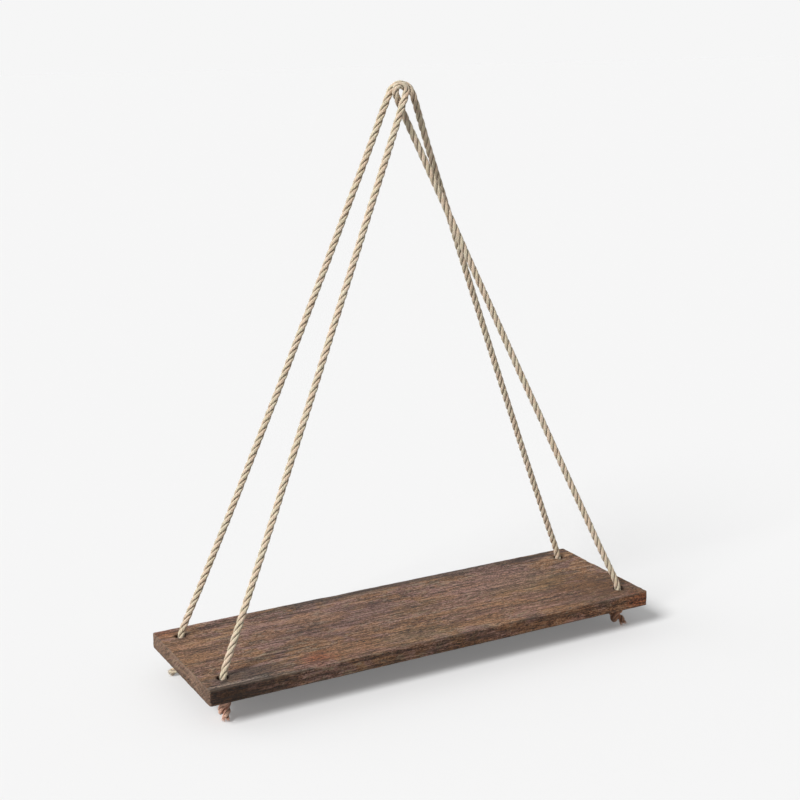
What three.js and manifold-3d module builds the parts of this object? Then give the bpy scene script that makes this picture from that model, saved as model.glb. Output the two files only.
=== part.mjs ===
// Hanging rope shelf: a board carried by two ropes that hang over one thin hook.
// Millimetres, +Z up. The origin is the middle of the hook, +X runs along the board to
// the right, and -Y is the front.
//
// Each rope goes up from one end of the board, over the hook and down to the other end.
// Its ends pass through holes in the board and are stopped underneath by overhand knots.
// A rope is limp, so near the hook it is parted on balls about the hook's middle: each
// stretch then turns about the hook clear of the next one.

import * as THREE from 'three';
import { mergeVertices } from 'three/addons/utils/BufferGeometryUtils.js';
import Module from 'manifold-3d';

const wasm = await Module();
wasm.setup();

// Board
const boardLength = 430;
const boardWidth = 138;
const boardThickness = 14;
const boardCornerRadius = 2.5;
const boardEdgeEase = 0.9;

// Holes for the ropes, one near each corner
const holeDiameter = 10;
const holeInsetFromEnd = 19;
const holeInsetFromSide = 19.5;
const holeRimEase = 0.4;

// Ropes
const ropeDiameter = 6;
const knottedRopeDiameter = 4.4;
const hangHeight = 456;
const frontLegSag = 0.8;
const backLegSag = 2.7;

// Hook that the ropes are made to hang on
const hookWireDiameter = 2.5;

// Back rope's turn over the hook: a wide arch that rests on the hook off its middle
const archRadius = 11.3;
const archOffsetX = 3.5;

// Front rope's turn over the hook: a narrow eye whose legs cross below it
const eyeOffsetX = -0.6;
const eyeLean = 1.6;
const eyeOpenAngle = 20;
const crossingDepth = 9.8;
const crossingSpacing = 7;

// Distance between the two ropes along the hook
const ropeSpacingOnHook = 7.9;

// Balls about the hook on which the ropes are parted: the innermost one, and how far
// apart they are
const turnBallRadius = 21;
const neckSpan = 8;

// Clearances
const touchGap = 0.3;
const partingGap = 0.4;
const ropeToWireGap = 0.15;
const leastRopeGap = 0.4;

// How finely round forms are faceted
const ropeSides = 8;
const legSteps = 34;
const neckSteps = 5;
const turnSteps = 30;
const knotSteps = 60;
const ballSegments = 64;
const arcSegments = 6;
const holeSegments = 24;

// How many points the curved parts of a route have
const turnSpans = 8;
const knotSpans = 40;

// How finely lines are sampled to measure along them and between them
const ropeSamples = 4000;
const knotSamples = 2000;
const searchSteps = 2000;
const ropeGapSamples = 2400;
const knotGapSamples = 600;

// Stretches of a rope nearer than this along it aren't measured against each other, as a
// share of its diameter
const neighbourShare = 1.75;

// Rope route: places along the straight line from the turn to the hole, and how far the
// rope leans inside the hole, as shares of the room that it has there
const legShares = [0.1, 0.3, 0.5, 0.7, 0.9];
const rimLeanShare = 0.9;
const holeLeanShare = 0.35;

// Overhand knot, as shares of the knotted rope's diameter
const knotRingShare = 1.28;
const knotWindShare = 0.58;
const knotDepthShare = 0.6;
const knotHoleAxisShare = 0.75;
const knotOpenAngle = 30;
const knotStandingShares = [
  [0.75, 2.95, 0],
  [0.88, 2.55, 0.08],
  [1.12, 2.08, 0.32],
  [1.27, 1.6, 0.52],
  [1.06, 1.22, 0.58],
];
const knotTailRootShares = [1.06, -1.22, -0.58];
const knotTailSteps = [
  [0.44, -0.33, 0.08],
  [0.99, -0.78, 0.16],
  [1.54, -1.28, 0.22],
];

// Board corners: which way each lies, its leg's sag, its knot's heading in degrees, and
// how far its tail leans out and drops, as shares of the steps in the table above
const corners = [
  {
    name: 'front_left', sideX: -1, sideY: -1, sag: frontLegSag,
    knotHeading: -118, tailLeanShare: 0.65, tailDropShare: 0.6,
  },
  {
    name: 'front_right', sideX: 1, sideY: -1, sag: frontLegSag,
    knotHeading: -88, tailLeanShare: 0.6, tailDropShare: 0.4,
  },
  {
    name: 'back_left', sideX: -1, sideY: 1, sag: backLegSag,
    knotHeading: 151, tailLeanShare: 1.2, tailDropShare: 0.65,
  },
  {
    name: 'back_right', sideX: 1, sideY: 1, sag: backLegSag,
    knotHeading: 60, tailLeanShare: 0.9, tailDropShare: 0.6,
  },
];

// Materials
const walnutStain = new THREE.MeshStandardMaterial({
  color: 0x5a4236,
  roughness: 0.75,
  metalness: 0,
});
const jute = new THREE.MeshStandardMaterial({
  color: 0xb9a283,
  roughness: 0.95,
  metalness: 0,
});

// Places worked out from the sizes above
const boardTopZ = -hangHeight;
const boardBottomZ = boardTopZ - boardThickness;
const ropeEndZ = boardTopZ - boardThickness / 2;
const holeX = boardLength / 2 - holeInsetFromEnd;
const holeY = boardWidth / 2 - holeInsetFromSide;
const eyeRadius = hookWireDiameter / 2 + ropeToWireGap + ropeDiameter / 2;
const archToHook = archRadius - eyeRadius;
const archCentreZ = -Math.sqrt(Math.max(archToHook ** 2 - archOffsetX ** 2, 0));
const frontRopeY = -ropeSpacingOnHook / 2;
const backRopeY = ropeSpacingOnHook / 2;
const upperNeckBallRadius = turnBallRadius + neckSpan;
const lowerNeckBallRadius = upperNeckBallRadius + neckSpan;

// Manifold solid from a closed three.js geometry
function toSolid(geometry) {
  const bare = geometry.index ? geometry.clone() : geometry;
  bare.deleteAttribute('normal');
  bare.deleteAttribute('uv');
  const merged = mergeVertices(bare);
  const mesh = new wasm.Mesh({
    numProp: 3,
    vertProperties: new Float32Array(merged.attributes.position.array),
    triVerts: new Uint32Array(merged.index.array),
  });
  return new wasm.Manifold(mesh);
}

// three.js geometry from a manifold solid
function toGeometry(solid) {
  const mesh = solid.getMesh();
  const geometry = new THREE.BufferGeometry();
  geometry.setAttribute('position', new THREE.BufferAttribute(mesh.vertProperties, 3));
  geometry.setIndex(new THREE.BufferAttribute(mesh.triVerts, 1));
  geometry.computeVertexNormals();
  return geometry;
}

function namedMesh(name, geometry, material) {
  const mesh = new THREE.Mesh(geometry, material.clone());
  mesh.name = name;
  return mesh;
}

// Outline of the board seen from above, with rounded corners. The eased edge is added
// outside the outline, so the outline is smaller by that much.
function boardOutline() {
  const halfLength = boardLength / 2 - boardEdgeEase;
  const halfWidth = boardWidth / 2 - boardEdgeEase;
  const radius = boardCornerRadius - boardEdgeEase;
  const outline = new THREE.Shape();
  outline.moveTo(-halfLength + radius, -halfWidth);
  outline.lineTo(halfLength - radius, -halfWidth);
  outline.absarc(halfLength - radius, -halfWidth + radius, radius, -Math.PI / 2, 0, false);
  outline.lineTo(halfLength, halfWidth - radius);
  outline.absarc(halfLength - radius, halfWidth - radius, radius, 0, Math.PI / 2, false);
  outline.lineTo(-halfLength + radius, halfWidth);
  outline.absarc(-halfLength + radius, halfWidth - radius, radius, Math.PI / 2, Math.PI, false);
  outline.lineTo(-halfLength, -halfWidth + radius);
  outline.absarc(-halfLength + radius, -halfWidth + radius, radius, Math.PI, 1.5 * Math.PI, false);
  return outline;
}

// Board with eased edges; the holes are bored straight through and their rims are worn
function makeBoard() {
  const slab = new THREE.ExtrudeGeometry(boardOutline(), {
    depth: boardThickness - 2 * boardEdgeEase,
    bevelEnabled: true,
    bevelThickness: boardEdgeEase,
    bevelSize: boardEdgeEase,
    bevelSegments: 2,
    curveSegments: arcSegments,
  });
  slab.translate(0, 0, boardBottomZ + boardEdgeEase);
  let board = toSolid(slab);
  for (const corner of corners) {
    board = board.subtract(toSolid(holeCutter(corner)));
  }
  return toGeometry(board);
}

// Cutter for one hole, with a small flare where it passes each face of the board
function holeCutter(corner) {
  const radius = holeDiameter / 2;
  const flare = radius + holeRimEase;
  const past = radius + 2 * holeRimEase;
  const profile = [
    [0, boardBottomZ - holeRimEase],
    [past, boardBottomZ - holeRimEase],
    [flare, boardBottomZ],
    [radius, boardBottomZ + holeRimEase],
    [radius, boardTopZ - holeRimEase],
    [flare, boardTopZ],
    [past, boardTopZ + holeRimEase],
    [0, boardTopZ + holeRimEase],
  ];
  const cutter = new THREE.LatheGeometry(
    profile.map(([r, z]) => new THREE.Vector2(r, z)),
    holeSegments,
  );
  cutter.rotateX(Math.PI / 2);
  cutter.translate(corner.sideX * holeX, corner.sideY * holeY, 0);
  return cutter;
}

// Unit vector along the board's face from a hole towards the hook
function towardsHook(corner) {
  return new THREE.Vector3(-corner.sideX * holeX, -corner.sideY * holeY, 0).normalize();
}

// Points of one leg from below its turn down into the middle of its hole.
// The leg sags inwards a little, and bears on the hole's rim on the hook's side.
function legRoute(corner, top) {
  const inward = towardsHook(corner);
  const lean = holeDiameter / 2 - ropeDiameter / 2 - touchGap - ropeToWireGap;
  const hole = new THREE.Vector3(corner.sideX * holeX, corner.sideY * holeY, 0);
  const rim = hole.clone().addScaledVector(inward, lean * rimLeanShare).setZ(boardTopZ + ropeDiameter / 2);
  const points = legShares.map((share) =>
    top.clone().lerp(rim, share).addScaledVector(inward, corner.sag * 4 * share * (1 - share)),
  );
  points.push(rim);
  points.push(hole.clone().addScaledVector(inward, lean * holeLeanShare).setZ(boardTopZ - ropeDiameter / 2));
  points.push(hole.clone().setZ(ropeEndZ));
  return points;
}

// Back rope's turn: an arch from the left leg's tangent point to the right leg's
function archPoints() {
  const legSlope = Math.atan2(holeX, hangHeight);
  const start = Math.PI - legSlope;
  const points = [];
  for (let i = 0; i <= turnSpans; i += 1) {
    const angle = start + ((legSlope - start) * i) / turnSpans;
    points.push(
      new THREE.Vector3(
        archOffsetX + archRadius * Math.cos(angle),
        backRopeY,
        archCentreZ + archRadius * Math.sin(angle),
      ),
    );
  }
  return points;
}

// Front rope's turn: up in front of the crossing, round the hook and down behind it
function eyePoints() {
  const points = [crossingPoint(-1)];
  const start = -THREE.MathUtils.degToRad(eyeOpenAngle);
  for (let i = 0; i <= turnSpans; i += 1) {
    const angle = start + ((Math.PI - 2 * start) * i) / turnSpans;
    const alongHook = eyeLean * ((2 * i) / turnSpans - 1);
    points.push(
      new THREE.Vector3(
        eyeOffsetX + eyeRadius * Math.cos(angle),
        frontRopeY + alongHook,
        eyeRadius * Math.sin(angle),
      ),
    );
  }
  points.push(crossingPoint(1));
  return points;
}

function crossingPoint(side) {
  return new THREE.Vector3(
    eyeOffsetX,
    frontRopeY + (side * crossingSpacing) / 2,
    -crossingDepth,
  );
}

// Whole centre line of a rope, from inside its left hole to inside its right one
function ropeLine(leftCorner, rightCorner, turn) {
  const left = legRoute(leftCorner, turn[0]).reverse();
  const right = legRoute(rightCorner, turn[turn.length - 1]);
  const line = new THREE.CatmullRomCurve3([...left, ...turn, ...right], false, 'centripetal');
  line.arcLengthDivisions = ropeSamples;
  return line;
}

// Part of a longer line, between two shares of its length
class Stretch extends THREE.Curve {
  constructor(line, from, to) {
    super();
    this.line = line;
    this.from = from;
    this.to = to;
  }

  getPoint(share, target = new THREE.Vector3()) {
    return this.line.getPointAt(this.from + (this.to - this.from) * share, target);
  }
}

// Round rope along a line
function ropeTube(line, diameter, steps) {
  const section = new THREE.Shape();
  section.absarc(0, 0, diameter / 2, 0, 2 * Math.PI, false);
  return new THREE.ExtrudeGeometry(section, {
    steps,
    curveSegments: ropeSides / 2,
    bevelEnabled: false,
    extrudePath: line,
  });
}

function ball(radius) {
  return toSolid(new THREE.SphereGeometry(radius, ballSegments, ballSegments / 2));
}

// Share of a line's length at which it first leaves a ball about the hook
function shareAtRadius(line, radius, fromShare, toShare) {
  for (let i = 0; i <= searchSteps; i += 1) {
    const share = fromShare + ((toShare - fromShare) * i) / searchSteps;
    if (line.getPointAt(share).length() > radius) {
      return share;
    }
  }
  return toShare;
}

// Share of a line's length at which it lies highest
function shareAtTop(line) {
  let best = 0;
  let highest = -Infinity;
  for (let i = 0; i <= searchSteps; i += 1) {
    const height = line.getPointAt(i / searchSteps).z;
    if (height > highest) {
      highest = height;
      best = i / searchSteps;
    }
  }
  return best;
}

// Rope over the hook, inside the innermost ball
function makeTurn(line) {
  const top = shareAtTop(line);
  const reach = turnBallRadius + ropeDiameter;
  const left = shareAtRadius(line, reach, top, 0);
  const right = shareAtRadius(line, reach, top, 1);
  const tube = toSolid(ropeTube(new Stretch(line, left, right), ropeDiameter, turnSteps));
  return toGeometry(tube.intersect(ball(turnBallRadius)));
}

// Stretch of one leg between two balls about the hook, both kept clear of
function makeNeck(line, endShare, innerRadius, outerRadius) {
  const top = shareAtTop(line);
  const near = shareAtRadius(line, innerRadius - ropeDiameter, top, endShare);
  const far = shareAtRadius(line, outerRadius + ropeDiameter, top, endShare);
  const tube = toSolid(ropeTube(new Stretch(line, near, far), ropeDiameter, neckSteps));
  const shell = ball(outerRadius).subtract(ball(innerRadius + partingGap));
  return toGeometry(tube.intersect(shell));
}

// Rest of a leg, from the outermost ball down into the board
function makeLeg(line, endShare) {
  const top = shareAtTop(line);
  const near = shareAtRadius(line, lowerNeckBallRadius - ropeDiameter, top, endShare);
  const tube = toSolid(ropeTube(new Stretch(line, near, endShare), ropeDiameter, legSteps));
  return toGeometry(tube.subtract(ball(lowerNeckBallRadius + partingGap)));
}

// Centre line of an overhand knot in its own frame: X the way its tail leans, Y up.
// The knot is a rope wound three times round a ring that it follows twice, opened at one
// of its outer lobes, where the standing part comes in and the tail goes out.
function knotPoints(corner) {
  const open = THREE.MathUtils.degToRad(knotOpenAngle);
  const body = [];
  for (let i = 0; i <= knotSpans; i += 1) {
    const angle = open + ((2 * Math.PI - 2 * open) * i) / knotSpans;
    const out = knotRingShare + knotWindShare * Math.cos(3 * angle);
    body.push([
      out * Math.cos(2 * angle),
      out * Math.sin(2 * angle),
      knotDepthShare * Math.sin(3 * angle),
    ]);
  }
  const [rootX, rootY, rootZ] = knotTailRootShares;
  const tail = knotTailSteps.map(([x, y, z]) => [
    rootX + x * corner.tailLeanShare,
    rootY + y * corner.tailDropShare,
    rootZ + z,
  ]);
  const shares = [...knotStandingShares, ...body, knotTailRootShares, ...tail];
  return shares.map(([x, y, z]) => new THREE.Vector3(x, y, z).multiplyScalar(knottedRopeDiameter));
}

// Height of the knot's highest lobe above its own origin
function knotTopHeight(points) {
  const body = points.slice(knotStandingShares.length);
  return Math.max(...body.map((point) => point.y)) + knottedRopeDiameter / 2;
}

// Overhand knot under one hole, with its standing part up in the hole and a short tail
function knotLine(corner) {
  const own = knotPoints(corner);
  const originZ = boardBottomZ - touchGap - knotTopHeight(own);
  const heading = THREE.MathUtils.degToRad(corner.knotHeading);
  const outward = new THREE.Vector3(Math.cos(heading), Math.sin(heading), 0);
  const across = new THREE.Vector3(Math.sin(heading), -Math.cos(heading), 0);
  const axisShift = knotHoleAxisShare * knottedRopeDiameter;
  const origin = new THREE.Vector3(corner.sideX * holeX, corner.sideY * holeY, originZ);
  origin.addScaledVector(outward, -axisShift);
  const placed = own.map((point) =>
    origin
      .clone()
      .addScaledVector(outward, point.x)
      .addScaledVector(across, point.z)
      .setZ(originZ + point.y),
  );
  const start = new THREE.Vector3(corner.sideX * holeX, corner.sideY * holeY, ropeEndZ - touchGap);
  const line = new THREE.CatmullRomCurve3([start, ...placed], false, 'centripetal');
  line.arcLengthDivisions = knotSamples;
  return line;
}

// Least gap between the surfaces of a rope's stretches that aren't next to each other
function leastSelfGap(line, diameter, samples) {
  const points = line.getSpacedPoints(samples);
  const step = line.getLength() / samples;
  const apart = Math.ceil((neighbourShare * diameter) / step);
  let least = Infinity;
  for (let i = 0; i < points.length; i += 1) {
    for (let j = i + apart; j < points.length; j += 1) {
      least = Math.min(least, points[i].distanceTo(points[j]));
    }
  }
  return least - diameter;
}

// Least gap between the surfaces of two ropes
function leastGapBetween(first, second, samples) {
  const ours = first.getSpacedPoints(samples);
  const theirs = second.getSpacedPoints(samples);
  let least = Infinity;
  for (const point of ours) {
    for (const other of theirs) {
      least = Math.min(least, point.distanceTo(other));
    }
  }
  return least - ropeDiameter;
}

function reportGap(what, gap) {
  const verdict = gap > leastRopeGap ? 'clear' : 'TOO CLOSE';
  console.log(`${what}: least gap ${gap.toFixed(2)} mm, ${verdict}`);
}

const shelf = new THREE.Group();
shelf.add(namedMesh('board', makeBoard(), walnutStain));

const [frontLeft, frontRight, backLeft, backRight] = corners;
const frontLine = ropeLine(frontLeft, frontRight, eyePoints());
const backLine = ropeLine(backLeft, backRight, archPoints());
shelf.add(namedMesh('front_rope_eye', makeTurn(frontLine), jute));
shelf.add(namedMesh('back_rope_bight', makeTurn(backLine), jute));

// The front rope's legs cross below its eye, so its left end is still the left leg
const legs = [
  { corner: frontLeft, line: frontLine, endShare: 0 },
  { corner: frontRight, line: frontLine, endShare: 1 },
  { corner: backLeft, line: backLine, endShare: 0 },
  { corner: backRight, line: backLine, endShare: 1 },
];
for (const { corner, line, endShare } of legs) {
  const upper = makeNeck(line, endShare, turnBallRadius, upperNeckBallRadius);
  const lower = makeNeck(line, endShare, upperNeckBallRadius, lowerNeckBallRadius);
  const knot = knotLine(corner);
  shelf.add(namedMesh(`${corner.name}_upper_neck`, upper, jute));
  shelf.add(namedMesh(`${corner.name}_lower_neck`, lower, jute));
  shelf.add(namedMesh(`${corner.name}_leg`, makeLeg(line, endShare), jute));
  shelf.add(namedMesh(`${corner.name}_knot`, ropeTube(knot, knottedRopeDiameter, knotSteps), jute));
}

reportGap('front rope to itself', leastSelfGap(frontLine, ropeDiameter, ropeGapSamples));
reportGap('back rope to itself', leastSelfGap(backLine, ropeDiameter, ropeGapSamples));
reportGap('front rope to back rope', leastGapBetween(frontLine, backLine, ropeGapSamples));
for (const corner of corners) {
  const gap = leastSelfGap(knotLine(corner), knottedRopeDiameter, knotGapSamples);
  reportGap(`${corner.name} knot to itself`, gap);
}
console.log(`front rope ${frontLine.getLength().toFixed(0)} mm from hole to hole`);
console.log(`back rope ${backLine.getLength().toFixed(0)} mm from hole to hole`);
for (const corner of corners) {
  console.log(`${corner.name} knot and tail ${knotLine(corner).getLength().toFixed(0)} mm of rope`);
}

export default shelf;
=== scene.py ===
"""Hanging rope shelf: a stained board carried by two laid jute ropes over one hook.

Metres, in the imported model's frame: the origin is the middle of the hook, +X runs along the
board to the right, -Y is the front and +Z is up.
"""
import logging
import math
from collections.abc import Callable, Iterator, Sequence
from contextlib import contextmanager
from dataclasses import dataclass
from enum import Enum

import bmesh
import bpy
import numpy as np
from mathutils import Matrix, Vector


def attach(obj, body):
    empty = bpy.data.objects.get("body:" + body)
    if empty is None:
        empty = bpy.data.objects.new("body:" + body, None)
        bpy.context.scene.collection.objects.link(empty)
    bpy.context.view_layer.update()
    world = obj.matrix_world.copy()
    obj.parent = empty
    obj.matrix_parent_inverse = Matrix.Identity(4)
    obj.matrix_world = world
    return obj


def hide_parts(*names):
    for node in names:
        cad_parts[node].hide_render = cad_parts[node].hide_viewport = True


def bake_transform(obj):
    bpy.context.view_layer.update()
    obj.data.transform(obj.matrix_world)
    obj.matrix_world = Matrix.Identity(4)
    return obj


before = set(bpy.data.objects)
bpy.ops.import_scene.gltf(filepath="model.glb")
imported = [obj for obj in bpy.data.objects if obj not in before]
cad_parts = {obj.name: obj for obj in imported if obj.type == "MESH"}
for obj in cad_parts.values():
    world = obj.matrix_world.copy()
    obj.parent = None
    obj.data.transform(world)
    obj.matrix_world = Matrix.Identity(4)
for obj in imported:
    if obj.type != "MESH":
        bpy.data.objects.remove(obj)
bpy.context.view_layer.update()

LOG = logging.getLogger("rope_shelf")

Colour = tuple[float, float, float]
Place = tuple[float, float, float]
Piece = bpy.types.Object
Socket = bpy.types.NodeSocket
Value = float | Sequence[float] | Socket

# Distance below which two places are the same
TINY = 1e-6
# A way that no rope starts in, from which the frames along the ropes are started
ASIDE: Place = (0.3, 1.0, 0.2)
# Numbers that start the random fibres of each rope's pieces, and of the first knot
ROPE_STREAMS = (0, 10)
KNOT_STREAMS = 50


class Body(Enum):
    """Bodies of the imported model, from the hook down."""

    TURNS = "hook_turns"
    UPPER_NECKS = "upper_necks"
    LOWER_NECKS = "lower_necks"
    SHELF = "hanging_shelf"


class Slot(Enum):
    """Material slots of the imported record."""

    WOOD = "board_wood"
    JUTE = "rope_jute"


class Tint(Enum):
    """Colourings of the jute."""

    NATURAL = "natural"
    RUSSET = "russet"
    RUSTY = "rusty"


@dataclass(frozen=True)
class Corner:
    """One corner of the board, with the leg and the knot that belong to it.

    Args:
        name: Start of the names of its nodes.
        side_x: -1 at the left end, 1 at the right end.
        side_y: -1 at the front, 1 at the back.
        sag: How far the leg sags inwards at its middle.
        knot_heading: Way that the knot's tail leans, in degrees from +X.
        tail_lean: How far the tail leans out, as a share of the knot's own steps.
        tail_drop: How far the tail drops, as a share of the knot's own steps.
        tint: Colouring of the knot and its tail.
    """

    name: str
    side_x: int
    side_y: int
    sag: float
    knot_heading: float
    tail_lean: float
    tail_drop: float
    tint: Tint

    @property
    def neck(self) -> str:
        """Name of its rope's neck."""
        return f"{self.name}_rope_neck"

    @property
    def leg(self) -> str:
        """Name of its rope's leg."""
        return f"{self.name}_rope_leg"


FRONT_LEFT = Corner("front_left", -1, -1, 0.0008, -118, 0.65, 0.6, Tint.RUSSET)
FRONT_RIGHT = Corner("front_right", 1, -1, 0.0008, -88, 0.6, 0.4, Tint.RUSTY)
BACK_LEFT = Corner("back_left", -1, 1, 0.0027, 151, 1.2, 0.65, Tint.NATURAL)
BACK_RIGHT = Corner("back_right", 1, 1, 0.0027, 60, 0.9, 0.6, Tint.NATURAL)
CORNERS = (FRONT_LEFT, FRONT_RIGHT, BACK_LEFT, BACK_RIGHT)


@dataclass(frozen=True)
class ShelfSizes:
    """Sizes that the board, the ropes and the knots share."""

    board_length: float = 0.430
    board_width: float = 0.138
    board_thickness: float = 0.014
    hole_diameter: float = 0.010
    hole_from_end: float = 0.019
    hole_from_side: float = 0.0195
    hang_height: float = 0.456
    rope_diameter: float = 0.006
    knotted_diameter: float = 0.0044
    touch_gap: float = 0.0003
    wire_gap: float = 0.00015
    wire_diameter: float = 0.0025

    @property
    def top_z(self) -> float:
        """Height of the board's upper face."""
        return -self.hang_height

    @property
    def bottom_z(self) -> float:
        """Height of the board's lower face."""
        return self.top_z - self.board_thickness

    @property
    def middle_z(self) -> float:
        """Height of the board's middle, where the ropes end and the knots start."""
        return self.top_z - self.board_thickness / 2

    @property
    def hole_x(self) -> float:
        """Distance of a hole from the middle, along the board."""
        return self.board_length / 2 - self.hole_from_end

    @property
    def hole_y(self) -> float:
        """Distance of a hole from the middle, across the board."""
        return self.board_width / 2 - self.hole_from_side

    @property
    def half_board(self) -> Place:
        """Half of the board's length, width and thickness."""
        return self.board_length / 2, self.board_width / 2, self.board_thickness / 2

    @property
    def turn_radius(self) -> float:
        """Distance from the hook's middle to the middle of a rope that lies on it."""
        return (self.wire_diameter + self.rope_diameter) / 2 + self.wire_gap

    def hole(self, corner: Corner, height: float) -> np.ndarray:
        """Point on the axis of a corner's hole at a height."""
        return np.array([corner.side_x * self.hole_x, corner.side_y * self.hole_y, height])


def unit(vectors: np.ndarray) -> np.ndarray:
    """Vectors along the last axis, each made one long."""
    return vectors / np.linalg.norm(vectors, axis=-1, keepdims=True)


def link(thing: Piece) -> None:
    """Puts an object into the scene."""
    bpy.context.scene.collection.objects.link(thing)


def use_only(piece: Piece) -> None:
    """Selects one object and makes it the active one.

    Args:
        piece: The object.
    """
    bpy.ops.object.select_all(action="DESELECT")
    piece.select_set(True)
    bpy.context.view_layer.objects.active = piece


def add_primitive(operator: Callable, **sizes: object) -> Piece:
    """Adds a primitive and moves its place and size into its mesh.

    Args:
        operator: Operator that adds it.
        **sizes: The operator's settings.

    Returns:
        The object, at the origin.
    """
    bpy.ops.object.select_all(action="DESELECT")
    operator(**sizes)
    bpy.ops.object.transform_apply(location=True, rotation=True, scale=True)
    return bpy.context.object


@contextmanager
def editing(piece: Piece) -> Iterator[None]:
    """Keeps one object in edit mode while a block of code shapes it.

    Args:
        piece: The object.

    Yields:
        Nothing.
    """
    use_only(piece)
    bpy.ops.object.mode_set(mode="EDIT")
    yield
    bpy.ops.object.mode_set(mode="OBJECT")


def select(piece: Piece, kind: str, test: Callable[[list[Vector]], bool]) -> None:
    """Selects what passes a test, in edit mode.

    Args:
        piece: Object in edit mode.
        kind: VERT, EDGE or FACE.
        test: Test of the places of an element's own vertices.
    """
    bpy.ops.mesh.select_mode(type=kind)
    bpy.ops.mesh.select_all(action="DESELECT")
    mesh = bmesh.from_edit_mesh(piece.data)
    if kind == "VERT":
        for vertex in mesh.verts:
            vertex.select = test([vertex.co])
    else:
        for element in mesh.edges if kind == "EDGE" else mesh.faces:
            element.select = test([vertex.co for vertex in element.verts])
    mesh.select_flush_mode()
    bmesh.update_edit_mesh(piece.data)


def curve_through(points: np.ndarray, spans: int) -> np.ndarray:
    """Centripetal Catmull-Rom curve.

    Args:
        points: Points that the curve passes, one to a row.
        spans: Number of straight pieces between two of them.

    Returns:
        Points along the curve, first and last one included.
    """
    ends = 2 * points[0] - points[1], 2 * points[-1] - points[-2]
    p = np.vstack([ends[0], points, ends[1]])
    gaps = np.sqrt(np.linalg.norm(np.diff(p, axis=0), axis=1))[:, None]
    share = (np.arange(spans) / spans)[:, None]
    pieces = []
    for i in range(1, len(p) - 2):
        before, gap, after = gaps[i - 1], gaps[i], gaps[i + 1]
        leave = (p[i] - p[i - 1]) / before - (p[i + 1] - p[i - 1]) / (before + gap)
        leave = (leave + (p[i + 1] - p[i]) / gap) * gap
        arrive = (p[i + 1] - p[i]) / gap - (p[i + 2] - p[i]) / (gap + after)
        arrive = (arrive + (p[i + 2] - p[i + 1]) / after) * gap
        square = 3 * (p[i + 1] - p[i]) - 2 * leave - arrive
        cube = 2 * (p[i] - p[i + 1]) + leave + arrive
        pieces.append(p[i] + leave * share + square * share**2 + cube * share**3)
    return np.vstack([*pieces, points[-1:]])


class Line:
    """Centre line of a rope, with a frame at each of its evenly spaced points."""

    def __init__(self, points: np.ndarray, step: float) -> None:
        """Spaces the line evenly and carries a frame along it without turning it.

        Args:
            points: Points along the line, closer together than the step.
            step: Distance between the line's own points.
        """
        along = np.concatenate([[0], np.cumsum(np.linalg.norm(np.diff(points, axis=0), axis=1))])
        self.length = float(along[-1])
        self.along = np.linspace(0, self.length, math.ceil(self.length / step) + 1)
        self.points = np.stack([np.interp(self.along, along, points[:, k]) for k in range(3)], 1)
        self.tangents = unit(np.gradient(self.points, axis=0))
        self.firsts = self._carried(unit(np.cross(self.tangents[0], ASIDE)))
        self.seconds = np.cross(self.tangents, self.firsts)

    def _carried(self, first: np.ndarray) -> np.ndarray:
        """Carries a frame vector along the line with the least turn.

        Args:
            first: The vector at the line's start.

        Returns:
            The vector at each point.
        """
        carried = [first]
        for tangent in self.tangents[1:]:
            last = carried[-1]
            carried.append(unit(last - tangent * (last @ tangent)))
        return np.array(carried)

    def crossing(self, height: float, start: int, way: int) -> int:
        """Index at which the line first drops below a height.

        Args:
            height: Height to drop below.
            start: Index to start from.
            way: 1 to go on towards the line's end, -1 towards its start.

        Returns:
            The index.
        """
        i = start
        while self.points[i, 2] > height:
            i += way
        return i


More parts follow.
